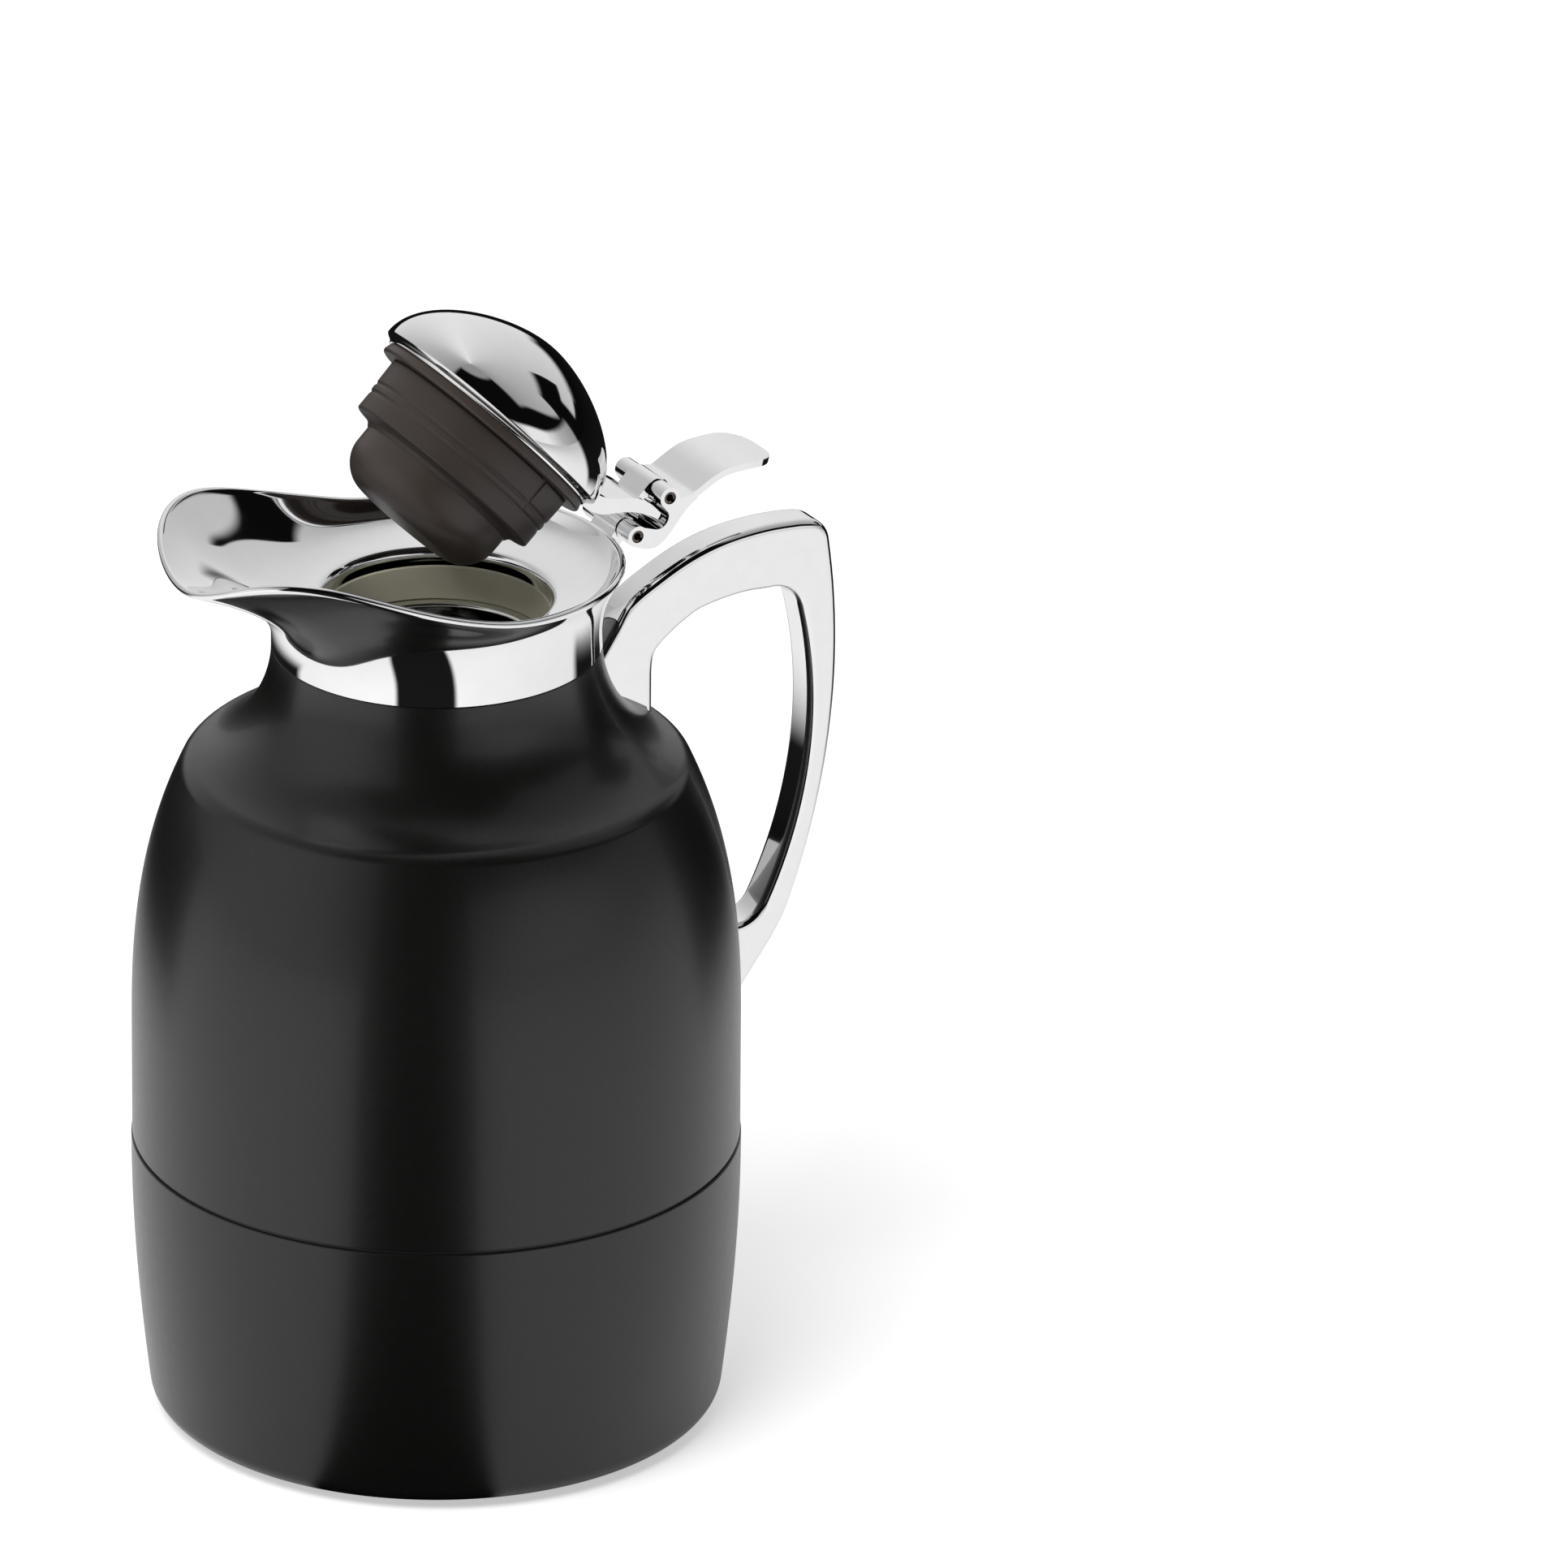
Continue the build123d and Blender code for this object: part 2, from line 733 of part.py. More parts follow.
seat_depth = shell_wall + saddle_thickness
screw_hole_radius = handle_screw_radius + screw_hole_gap
with BuildPart() as handle_screws:
    for plane in screw_planes:
        seat = plane.offset(-seat_depth)
        rod(seat, handle_screw_radius, seat_depth + handle_screw_depth)
        rod(seat.offset(-handle_screw_head_height), handle_screw_head, handle_screw_head_height)

with BuildPart() as handle_saddles:
    for plane in screw_planes:
        with BuildSketch(plane.offset(-seat_depth)) as block:
            Rectangle(saddle_width, saddle_width)
        extrude(block.sketch, amount=seat_depth + shell_reach)
    add(body_core.part, mode=Mode.INTERSECT)
    add(upper_shell.part, mode=Mode.SUBTRACT)
    for plane in screw_planes:
        start = plane.offset(-seat_depth - cut_past)
        rod(start, screw_hole_radius, cut_past + seat_depth + shell_reach, Mode.SUBTRACT)

for plane in screw_planes:
    with upper_shell:
        rod(plane.offset(-seat_depth), screw_hole_radius, seat_depth + shell_reach, Mode.SUBTRACT)
    with handle:
        rod(plane.offset(-shell_reach), handle_screw_radius, handle_screw_depth + shell_reach, Mode.SUBTRACT)

# The hinge: a fixed knuckle, the thumb lever between two pins, and the lid's arm.
# The lever and the lid are drawn as if closed, in planes that the open angle tips back.

swing = radians(open_angle)
lever_side = Plane(origin=(pin_x, 0, pin_z), x_dir=(cos(swing), 0, -sin(swing)), z_dir=(0, -1, 0))
lid_middle = lever_side.from_local_coords((-pin_x + lid_offset, flange_underside - pin_z, 0))
lid_side = Plane(origin=lid_middle, x_dir=lever_side.x_dir, z_dir=lever_side.z_dir)
upper_pin = (0, pin_spacing)
knuckle_bore = pin_radius + pin_running_gap
channel_half_width = knuckle_half_width + side_gap

with BuildPart() as hinge_bracket:
    fixed_side = Plane(origin=(pin_x, 0, pin_z), x_dir=(1, 0, 0), z_dir=(0, -1, 0))
    slab(bracket_web, knuckle_half_width, fixed_side)
    with BuildSketch(fixed_side) as knuckle:
        Circle(knuckle_radius)
    extrude(knuckle.sketch, amount=knuckle_half_width, both=True)
    with BuildSketch(fixed_side) as bore:
        Circle(knuckle_bore)
    extrude(bore.sketch, amount=knuckle_half_width, both=True, mode=Mode.SUBTRACT)
    add(spout_collar.part, mode=Mode.SUBTRACT)

with BuildPart() as thumb_lever:
    with BuildSketch(lever_side) as ears:
        with BuildLine():
            Spline(*lever_back)
            Polyline(lever_back[-1], lever_plate[0], *lever_shoulder, lever_crook[0])
            ThreePointArc(*lever_crook)
            Polyline(lever_crook[-1], lever_root, lever_back[0])
        make_face()
        Circle(barrel_radius)
        with Locations(upper_pin):
            Circle(barrel_radius)
    extrude(ears.sketch, amount=barrel_half_length, both=True)
    with BuildSketch(lever_side) as channel:
        with BuildLine():
            Polyline(*lever_notch, close=True)
        make_face()
        Circle(knuckle_radius + side_gap)
        with Locations(upper_pin):
            Circle(knuckle_radius + side_gap)
    extrude(channel.sketch, amount=channel_half_width, both=True, mode=Mode.SUBTRACT)
    with BuildSketch(lever_side) as plate:
        with BuildLine() as top:
            Spline(*lever_plate)
            walled(top, lever_plate_thickness, -1)
        make_face()
    extrude(plate.sketch, amount=lever_plate_half_width, both=True)
    tip = lever_side.from_local_coords((*lever_plate[-1], 0))
    tip_corners = thumb_lever.edges().filter_by(
        lambda edge: edge.length < lever_plate_thickness * 1.1
    ).sort_by_distance(tip)[:2]
    fillet(tip_corners, radius=lever_tip_radius)
    with BuildSketch(lever_side) as bores:
        Circle(pin_radius)
        with Locations(upper_pin):
            Circle(pin_radius)
    extrude(bores.sketch, amount=barrel_half_length, both=True, mode=Mode.SUBTRACT)


def spring_pin(centre):
    """A slotted tube that rides in the lever's ears."""
    with BuildSketch(lever_side) as section:
        with Locations(centre):
            Circle(pin_radius)
            Circle(pin_bore, mode=Mode.SUBTRACT)
            Rectangle(pin_radius * 2, pin_slot, align=(Align.MIN, Align.CENTER), mode=Mode.SUBTRACT)
    extrude(section.sketch, amount=pin_half_length, both=True)


with BuildPart() as lever_pin:
    spring_pin((0, 0))

with BuildPart() as lid_pin:
    spring_pin(upper_pin)

# The lid: a hollow dome over a core, and the arm that its knuckle turns on


def dome_line():
    """The dome's outer line, from the rim over the bulge to the middle of the top."""
    bulge = Vector(dome_radius, flange_thickness + dome_bulge_height)
    rim = Vector(dome_base_radius, flange_thickness)
    ThreePointArc(rim, (rim + bulge) / 2 + polar(dome_bulge_bow, dome_bulge_heading), bulge)
    top = Vector(0, flange_thickness + dome_height)
    Bezier(bulge, bulge + (0, dome_pull_side), top + (dome_pull_top, 0), top)


with BuildPart() as lid_dome:
    with BuildSketch(lid_side) as section:
        with BuildLine() as skin:
            dome_line()
            walled(skin, dome_wall, 1)
        make_face()
    spin(section.sketch, lid_side)

# The dome, filled: what the arm is trimmed to
with BuildPart() as dome_core:
    with BuildSketch(lid_side) as section:
        with BuildLine():
            dome_line()
            Polyline(
                (0, flange_thickness + dome_height),
                (0, flange_thickness),
                (dome_base_radius, flange_thickness),
            )
        make_face()
    spin(section.sketch, lid_side)

with BuildPart() as lid_arm:
    with BuildSketch(lever_side) as horn:
        with BuildLine():
            Spline(*arm_under)
            Line(arm_under[-1], arm_over[0])
            Spline(*arm_over)
            Line(arm_over[-1], arm_under[0])
        make_face()
    extrude(horn.sketch, amount=arm_half_width, both=True)
    with BuildSketch(lever_side) as knuckle:
        with BuildLine():
            Polyline(*arm_leg, close=True)
        make_face()
        with Locations(upper_pin):
            Circle(knuckle_radius)
    extrude(knuckle.sketch, amount=knuckle_half_width, both=True)
    with BuildSketch(lever_side) as bore:
        with Locations(upper_pin):
            Circle(knuckle_bore)
    extrude(bore.sketch, amount=knuckle_half_width, both=True, mode=Mode.SUBTRACT)
    add(dome_core.part, mode=Mode.SUBTRACT)

arm_screw_planes = []
for side in (-1, 1):
    spot = lid_side.from_local_coords((arm_screw_seat, arm_screw_level, side * arm_screw_spacing / 2))
    arm_screw_planes.append(Plane(origin=spot, x_dir=(0, 1, 0), z_dir=lid_side.x_dir))

with BuildPart() as arm_screws:
    for plane in arm_screw_planes:
        rod(plane, arm_screw_radius, arm_screw_reach)
        rod(plane.offset(-arm_screw_head_height), arm_screw_head, arm_screw_head_height)

for plane in arm_screw_planes:
    with lid_arm:
        rod(plane, arm_screw_radius, arm_screw_reach, Mode.SUBTRACT)
    with lid_dome:
        rod(plane, arm_screw_radius + screw_hole_gap, arm_screw_reach, Mode.SUBTRACT)

core_bore = stud_radius + thread_clearance
boss_top = flange_thickness + core_boss_height
with BuildPart() as lid_core:
    turned((
        (core_bore, flange_thickness),
        (core_radius, flange_thickness),
        (core_radius, flange_thickness + core_height),
        (core_boss_radius, flange_thickness + core_height),
        (core_boss_radius, boss_top),
        (core_bore, boss_top),
    ), lid_side)
    notch_start = arm_screw_seat - arm_screw_head_height - core_notch_gap
    notch_half_width = arm_screw_spacing / 2 + arm_screw_head + core_notch_gap
    slab((
        (notch_start, 0),
        (dome_radius, 0),
        (dome_radius, boss_top),
        (notch_start, boss_top),
    ), notch_half_width, lid_side, Mode.SUBTRACT)

# The stopper: a flange with a stud, a nut on the stud, a soft seal, and a bulb filled with foam

with BuildPart() as stopper_flange:
    turned((
        (0, -plug_depth),
        (plug_radius, -plug_depth),
        (plug_radius, 0),
        (flange_radius - flange_bevel[0], 0),
        (flange_radius, flange_bevel[1]),
        (flange_radius - flange_draft, flange_thickness),
        (stud_radius, flange_thickness),
        (stud_radius, flange_thickness + stud_height),
        (0, flange_thickness + stud_height),
    ), lid_side)

with BuildPart() as stud_nut:
    nut_seat = Plane(
        origin=lid_side.from_local_coords((0, boss_top, 0)), x_dir=lid_side.x_dir, z_dir=lid_side.y_dir
    )
    with BuildSketch(nut_seat):
        RegularPolygon(stud_nut_radius, 6)
        Circle(core_bore, mode=Mode.SUBTRACT)
    extrude(amount=stud_nut_height)

groove_points = []
for depth in seal_grooves:
    half = seal_groove_width / 2
    groove_points += [
        (seal_radius, -depth + half),
        (seal_radius - seal_groove, -depth + half / 2),
        (seal_radius - seal_groove, -depth - half / 2),
        (seal_radius, -depth - half),
    ]
with BuildPart() as stopper_seal:
    turned((
        (bulb_radius, 0),
        (seal_top_radius, 0),
        *groove_points,
        (seal_radius - seal_lip_draft, -seal_lip_depth),
        (bulb_radius + seal_heel_width, -seal_heel_depth),
        (bulb_radius, -seal_bottom_depth),
    ), lid_side)
    with BuildSketch(Plane(origin=lid_side.origin, x_dir=lid_side.x_dir, z_dir=lid_side.y_dir)) as vents:
        for turn in (-seal_vent_turn, seal_vent_turn):
            with Locations(Location(polar(seal_top_radius, turn), (0, 0, turn))):
                Rectangle(2 * seal_vent_depth, seal_vent_width)
    extrude(vents.sketch, amount=-seal_lip_depth - cut_past, mode=Mode.SUBTRACT)

with BuildPart() as stopper_bulb:
    with BuildSketch(lid_side) as section:
        with BuildLine() as skin:
            Line((bulb_radius, 0), (bulb_radius, -bulb_straight_depth))
            Bezier(
                (bulb_radius, -bulb_straight_depth),
                (bulb_radius, -bulb_straight_depth - bulb_pull),
                (bulb_flat_radius + bulb_pull / 2, -bulb_depth),
                (bulb_flat_radius, -bulb_depth),
            )
            Line((bulb_flat_radius, -bulb_depth), (0, -bulb_depth))
            walled(skin, bulb_wall, -1)
        make_face()
    spin(section.sketch, lid_side)

foam_radius = bulb_radius - bulb_wall - foam_gap
foam_bottom = bulb_depth - bulb_wall - foam_gap
with BuildPart() as stopper_foam:
    turned((
        (0, -foam_bottom),
        (bulb_flat_radius - foam_edge, -foam_bottom),
        (foam_radius - foam_edge, -bulb_straight_depth - foam_edge_drop),
        (foam_radius, -bulb_straight_depth + foam_edge_rise),
        (foam_radius, -plug_depth - foam_gap),
        (0, -plug_depth - foam_gap),
    ), lid_side)

for piece, label in (
    (upper_shell, "upper_shell"),
    (lower_shell, "lower_shell"),
    (seam_ring, "seam_ring"),
    (outer_glass, "outer_glass"),
    (inner_glass, "inner_glass"),
    (flask_spacers, "flask_spacers"),
    (base_frame, "base_frame"),
    (foot_ring, "foot_ring"),
    (base_cap, "base_cap"),
    (base_pad, "base_pad"),
    (flask_cushion, "flask_cushion"),
    (spout_collar, "spout_collar"),
    (collar_nut, "collar_nut"),
    (mouth_gasket, "mouth_gasket"),
    (handle, "handle"),
    (handle_screws, "handle_screws"),
    (handle_saddles, "handle_saddles"),
    (hinge_bracket, "hinge_bracket"),
    (thumb_lever, "thumb_lever"),
    (lever_pin, "lever_pin"),
    (lid_pin, "lid_pin"),
    (lid_arm, "lid_arm"),
    (arm_screws, "arm_screws"),
    (lid_dome, "lid_dome"),
    (lid_core, "lid_core"),
    (stud_nut, "stud_nut"),
    (stopper_flange, "stopper_flange"),
    (stopper_seal, "stopper_seal"),
    (stopper_bulb, "stopper_bulb"),
    (stopper_foam, "stopper_foam"),
):
    keep(piece, label)
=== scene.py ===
# %% [markdown]
# # The looks of a thermal jug
# The jug's construction is already made: thirty solids, packed with their joints. This script loads them as
# a fixed frame, and gives every surface that shows a smoother shape and a finish. Nothing here moves or
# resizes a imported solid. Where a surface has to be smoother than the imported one, a new piece stands for it.

# %% Load the frame
import json
import math
import bpy
import numpy as np
from mathutils import Matrix, Vector
from mathutils.geometry import interpolate_bezier


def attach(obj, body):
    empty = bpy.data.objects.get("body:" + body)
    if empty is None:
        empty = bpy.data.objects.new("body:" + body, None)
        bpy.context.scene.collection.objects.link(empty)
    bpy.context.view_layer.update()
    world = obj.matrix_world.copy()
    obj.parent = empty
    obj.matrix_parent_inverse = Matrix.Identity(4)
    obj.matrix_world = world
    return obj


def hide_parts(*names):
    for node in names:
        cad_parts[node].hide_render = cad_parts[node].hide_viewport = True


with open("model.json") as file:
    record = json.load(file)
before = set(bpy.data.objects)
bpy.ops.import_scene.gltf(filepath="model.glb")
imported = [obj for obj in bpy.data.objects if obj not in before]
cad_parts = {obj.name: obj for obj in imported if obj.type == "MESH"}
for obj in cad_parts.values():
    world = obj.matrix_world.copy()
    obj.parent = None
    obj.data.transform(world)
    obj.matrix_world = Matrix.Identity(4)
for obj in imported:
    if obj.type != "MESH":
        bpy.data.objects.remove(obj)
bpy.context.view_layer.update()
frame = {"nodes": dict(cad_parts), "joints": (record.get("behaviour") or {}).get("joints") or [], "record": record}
mm = 0.001
nodes = frame["nodes"]
joints = {joint["name"]: joint for joint in frame["joints"]}
print("nodes:", len(nodes), "joints:", sorted(joints))

# %% [markdown]
# Every operator acts on all that is selected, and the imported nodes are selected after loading. So each
# piece starts by deselecting everything, and each edit starts with one active object.

# %% Small helpers for working on one object at a time


def alone(piece):
    """Only this object is selected, and it is the active one."""
    bpy.ops.object.select_all(action="DESELECT")
    piece.select_set(True)
    bpy.context.view_layer.objects.active = piece
    return piece


def edit(piece, *steps):
    """Run edit mode steps on the whole mesh of one object. A step is an operator and its settings."""
    alone(piece)
    bpy.ops.object.mode_set(mode="EDIT")
    for operator, settings in steps:
        bpy.ops.mesh.select_all(action="SELECT")
        operator(**settings)
    bpy.ops.object.mode_set(mode="OBJECT")
    return piece


def modify(piece, kind, **settings):
    """Add one modifier and apply it."""
    alone(piece)
    modifier = piece.modifiers.new(kind.title(), kind)
    for name, value in settings.items():
        setattr(modifier, name, value)
    bpy.ops.object.modifier_apply(modifier=modifier.name)
    return piece


def smooth(piece, angle=30):
    """Shade smooth, with an edge kept wherever the surface turns by more than the angle."""
    alone(piece)
    bpy.ops.object.shade_smooth_by_angle(angle=math.radians(angle))
    return piece


def place(piece, matrix):
    """Move a piece's mesh, so that its object stays at the origin."""
    alone(piece)
    piece.matrix_world = matrix
    bpy.ops.object.transform_apply(location=True, rotation=True, scale=True)
    return piece


# %% [markdown]
# ## Outlines
# Most of the jug is turned: sheet metal is spun on a lathe chuck, glass is blown in a round mould, and the
# stopper's parts are moulded round. An outline is therefore half a section, as radius and height. It is
# drawn as a Bezier curve, because a curve bends evenly, and an uneven bend shows at once in a mirror.
# A corner is (radius, height), a rounded corner is (radius, height, rounding), and a smooth knot is
# (radius, height, heading, pull before, pull after), all in millimetres and degrees. An outline that meets
# the axis ends just beside it, at the pole, and merging the doubles closes the surface there.

# %% Turn an outline's corners into the knots of a Bezier curve
pole = 0.001
doubles = 0.002 * mm
straight_enough = math.radians(0.02)


def heading(degrees):
    """A unit step in the outline's plane."""
    return Vector((math.cos(math.radians(degrees)), math.sin(math.radians(degrees))))


def arc_pull(radius, turn):
    """How far a Bezier handle reaches to draw a round arc."""
    return 4 / 3 * math.tan(turn / 4) * radius


def knots(outline, closed=False):
    """The outline as (knot, handle before, handle after), in millimetres."""
    spots = [Vector(item[:2]) for item in outline]
    found = []
    for index, item in enumerate(outline):
        spot = spots[index]
        if len(item) == 5:
            ahead = heading(item[2])
            found.append((spot, spot - ahead * item[3], spot + ahead * item[4]))
        elif len(item) == 3 and (closed or 0 < index < len(outline) - 1):
            before = (spots[index - 1] - spot).normalized()
            after = (spots[(index + 1) % len(spots)] - spot).normalized()
            turn = math.pi - before.angle(after)
            reach = item[2] * math.tan(turn / 2)
            pull = arc_pull(item[2], turn)
            start, end = spot + before * reach, spot + after * reach
            found.append((start, start, start - before * pull))
            found.append((end, end - after * pull, end))
        else:
            found.append((spot, spot, spot))
    return found


# %% Draw an outline, and spin it


def drawn(name, outline, fineness=12, closed=False, flat=False):
    """A Bezier curve along an outline: upright in the XZ plane, or flat in the XY plane."""
    bpy.ops.object.select_all(action="DESELECT")
    bpy.ops.curve.primitive_bezier_curve_add(location=(0, 0, 0))
    curve = bpy.context.active_object
    curve.name = name
    spline = curve.data.splines[0]
    marks = knots(outline, closed)
    spline.bezier_points.add(len(marks) - len(spline.bezier_points))
    spline.use_cyclic_u = closed
    spline.resolution_u = fineness
    curve.data.resolution_u = fineness
    for point, mark in zip(spline.bezier_points, marks):
        point.handle_left_type = point.handle_right_type = "FREE"
        spots = [Vector((x, y, 0)) if flat else Vector((x, 0, y)) for x, y in mark]
        point.co, point.handle_left, point.handle_right = [spot * mm for spot in spots]
    return curve


def turned(name, outline, steps=180, fineness=12, wall=0, closed=False):
    """Spin an outline about the upright axis. A wall, in millimetres, is added on the inside."""
    piece = drawn(name, outline, fineness, closed)
    alone(piece)
    bpy.ops.object.convert(target="MESH")
    edit(
        piece,
        (bpy.ops.mesh.remove_doubles, {"threshold": doubles}),
        (bpy.ops.mesh.dissolve_limited, {"angle_limit": straight_enough}),
        (bpy.ops.mesh.spin, {"steps": steps, "angle": 2 * math.pi, "center": (0, 0, 0), "axis": (0, 0, 1)}),
        (bpy.ops.mesh.remove_doubles, {"threshold": doubles}),
        (bpy.ops.mesh.normals_make_consistent, {"inside": False}),
    )
    if wall:
        modify(piece, "SOLIDIFY", thickness=wall * mm, offset=-1, use_even_offset=True)
    print(name, "faces:", len(piece.data.polygons))
    return piece


# %% [markdown]
# ## Finishes
# A finish is a node tree. Its sums are written as Python expressions: the class below wraps one socket, and
# an operator on it adds the Math node that does it. Every other node comes from its one method.

# %% A socket that can be reckoned with


class Flow:
    """One socket of a node tree, or the start of a tree that has none yet."""

    def __init__(self, tree, socket=None):
        self.tree = tree
        self.socket = socket

    def node(self, kind, inputs, settings=None, out=0):
        """Add a node: its settings first, then the values or links of its sockets."""
        made = self.tree.nodes.new("ShaderNode" + kind)
        for name, value in (settings or {}).items():
            if name == "stops":
                ramp = made.color_ramp.elements
                while len(ramp) < len(value):
                    ramp.new(0.5)
                for element, (position, colour) in zip(ramp, value):
                    element.position = position
                    element.color = (*colour, 1)
            else:
                setattr(made, name, value)
        for name, value in inputs.items():
            if isinstance(value, Flow):
                self.tree.links.new(value.socket, made.inputs[name])
            else:
                made.inputs[name].default_value = value
        return Flow(self.tree, made.outputs[out])

    def math(self, operation, *values):
        """A Math node on the values given."""
        return self.node("Math", dict(enumerate(values)), {"operation": operation})

    def __add__(self, other):
        return self.math("ADD", self, other)

    def __sub__(self, other):
        return self.math("SUBTRACT", self, other)

    def __rsub__(self, other):
        return self.math("SUBTRACT", other, self)

    def __mul__(self, other):
        return self.math("MULTIPLY", self, other)

    __radd__ = __add__
    __rmul__ = __mul__

    def __abs__(self):
        return self.math("ABSOLUTE", self)

    def most(self, other):
        """The larger of two levels."""
        return self.math("MAXIMUM", self, other)

    def step(self, low, high):
        """0 below low, 1 above high, and a soft step between them."""
        span = {"Value": self, "From Min": low, "From Max": high}
        return self.node("MapRange", span, {"interpolation_type": "SMOOTHSTEP"})

    def graded(self, low, high, *stops):
        """A level read off stops: each is a share of the way from low to high, and the level there."""
        place = self.node("MapRange", {"Value": self, "From Min": low, "From Max": high})
        return place.node("ValToRGB", {0: place}, {"stops": [(spot, (level,) * 3) for spot, level in stops]})

    def between(self, low, high, soft):
        """1 from low to high, with soft edges."""
        return self.step(low - soft, low + soft) * (1 - self.step(high - soft, high + soft))

    def tint(self, dark, light):
        """A colour between two, by this value."""
        ends = {"Factor": self, 6: (*dark, 1), 7: (*light, 1)}
        return self.node("Mix", ends, {"data_type": "RGBA"}, out=2)

    def speckle(self, scale, detail=2, rough=0.5):
        """Noise over this place: scale is in grains per metre."""
        grain = {"Vector": self, "Scale": scale, "Detail": detail, "Roughness": rough}
        return self.node("TexNoise", grain)

    def bump(self, depth, strength=1.0, over=None):
        """A normal from a height of 0 to 1 that stands for a depth in millimetres, laid over another."""
        relief = {"Height": self, "Distance": depth * mm, "Strength": strength}
        if over:
            relief["Normal"] = over
        return self.node("Bump", relief)


# %% A finish from its recipe


def finish(name, fixed, varied):
    """A material: fixed values go on the shader's own sockets, and varied is worked out over the surface."""
    material = bpy.data.materials.new(name)
    material.use_nodes = True
    tree = material.node_tree
    shader = tree.nodes["Principled BSDF"]
    for socket, value in fixed.items():
        shader.inputs[socket].default_value = value
    spot = Flow(tree).node("TexCoord", {}, out="Object")
    for socket, value in varied(spot).items():
        tree.links.new(value.socket, shader.inputs[socket])
    return material


# %% [markdown]
# ### Chrome
# The collar, the handle, the lever and the lid are brass or steel, polished and plated. A plated pressing
# is a nearly perfect mirror that waves a little where the metal was drawn, and it has hardly any colour.
# So the finish is a metal with a low roughness, and two shallow waves: one as wide as a finger, from the
# press, and a much finer one from the polishing wheel.

# %% Chrome


def chrome_surface(spot):
    wave = spot.speckle(38, 1).bump(0.012, 0.5)
    haze = spot.speckle(260, 3)
    swirl = spot.speckle(2400, 1)
    return {
        "Base Color": haze.tint((0.87, 0.87, 0.875), (0.93, 0.93, 0.935)),
        "Roughness": 0.022 + haze * 0.03,
        "Normal": swirl.bump(0.0008, 0.3, wave),
    }


chrome = finish("chrome", {"Metallic": 1.0}, chrome_surface)

# %% [markdown]
# ### Black lacquer
# The body is sprayed with a black lacquer that holds fine metal flakes, under a clear coat. It reflects the
# lights softly, much less than the chrome does, and close by it glitters. The flakes are a fine noise that
# lifts the colour and tips the surface a little, over the slow unevenness of sprayed paint.

# %% Black lacquer


def lacquer_surface(spot):
    flakes = spot.speckle(5200, 1)
    glints = flakes.step(0.62, 0.8)
    peel = spot.speckle(420, 2)
    return {
        "Base Color": glints.tint((0.0050, 0.0047, 0.0044), (0.034, 0.032, 0.030)),
        "Roughness": 0.28 + peel * 0.06,
        "Normal": flakes.bump(0.004, 0.5, peel.bump(0.006, 0.4)),
    }


lacquer = finish("black_lacquer", {"Coat Weight": 0.1, "Coat Roughness": 0.05}, lacquer_surface)

# %% [markdown]
# ### Moulded plastics and rubbers
# The stopper's flange and bulb are a dark brown plastic, and its seal is a softer rubber of the same colour.
# The gasket is cream, and its colour is made much lighter than the rubber's own: painted light that makes up
# for the shade it stands in, down inside the mouth. Mouldings from a worn tool are matt, with a fine even grain
# and slow changes of sheen, so one recipe makes them all, from a colour, a roughness and the depth of the grain.

# %% Moulded plastics and rubbers


def moulded(name, colour, roughness, grain, scale=2600):
    """A moulded surface: an even fine grain, and a sheen that drifts slowly over the piece."""

    def surface(spot):
        drift = spot.speckle(90, 2)
        pores = spot.speckle(scale, 2)
        darker = tuple(channel * 0.86 for channel in colour)
        return {
            "Base Color": drift.tint(darker, colour),
            "Roughness": roughness - 0.04 + drift * 0.08,
            "Normal": pores.bump(grain, 0.5),
        }

    return finish(name, {"Specular IOR Level": 0.45}, surface)


brown_plastic = moulded("brown_plastic", (0.052, 0.040, 0.035), 0.42, 0.012)
brown_rubber = moulded("brown_rubber", (0.046, 0.036, 0.032), 0.5, 0.016)
# The gasket's cream is lightened well past the rubber's own colour, as painted light against the shade inside the
# mouth.
cream_rubber = moulded("cream_rubber", (0.80, 0.77, 0.60), 0.36, 0.014)
black_plastic = moulded("black_plastic", (0.012, 0.012, 0.013), 0.45, 0.02, 1400)
black_rubber = moulded("black_rubber", (0.016, 0.016, 0.016), 0.7, 0.03, 1900)
grey_pad = moulded("grey_pad", (0.16, 0.16, 0.155), 0.85, 0.05, 1500)

# %% [markdown]
# ### Steel, glass and foam
# The screws are turned steel, with rings left by the tool, and the hinge's pins are rolled from spring steel
# that hardening has stained brown. The flask's glass carries silver on its hidden side, so its finish is a
# mirror under a clear coat. The foam in the stopper is full of small cells.

# %% Steel, silvered glass and foam


def steel_surface(spot):
    rings = spot.node("TexWave", {"Vector": spot, "Scale": 900, "Distortion": 2.0}, {"bands_direction": "Z"})
    return {
        "Base Color": rings.tint((0.42, 0.41, 0.40), (0.55, 0.54, 0.53)),
        "Roughness": 0.24 + rings * 0.12,
        "Normal": rings.bump(0.003, 0.4),
    }


def silver_surface(spot):
    drift = spot.speckle(60, 2)
    return {
        "Base Color": drift.tint((0.74, 0.74, 0.72), (0.82, 0.82, 0.80)),
        "Roughness": 0.04 + drift * 0.05,
        "Normal": spot.speckle(55, 1).bump(0.03, 0.4),
    }


def foam_surface(spot):
    cells = spot.node("TexVoronoi", {"Vector": spot, "Scale": 1100})
    return {
        "Base Color": cells.tint((0.50, 0.49, 0.46), (0.70, 0.69, 0.66)),
        "Normal": cells.bump(0.2, 0.7),
    }


def spring_steel_surface(spot):
    stain = spot.speckle(700, 3)
    return {
        "Base Color": stain.tint((0.075, 0.058, 0.048), (0.19, 0.155, 0.13)),
        "Roughness": 0.3 + stain * 0.2,
        "Normal": stain.bump(0.006, 0.4),
    }


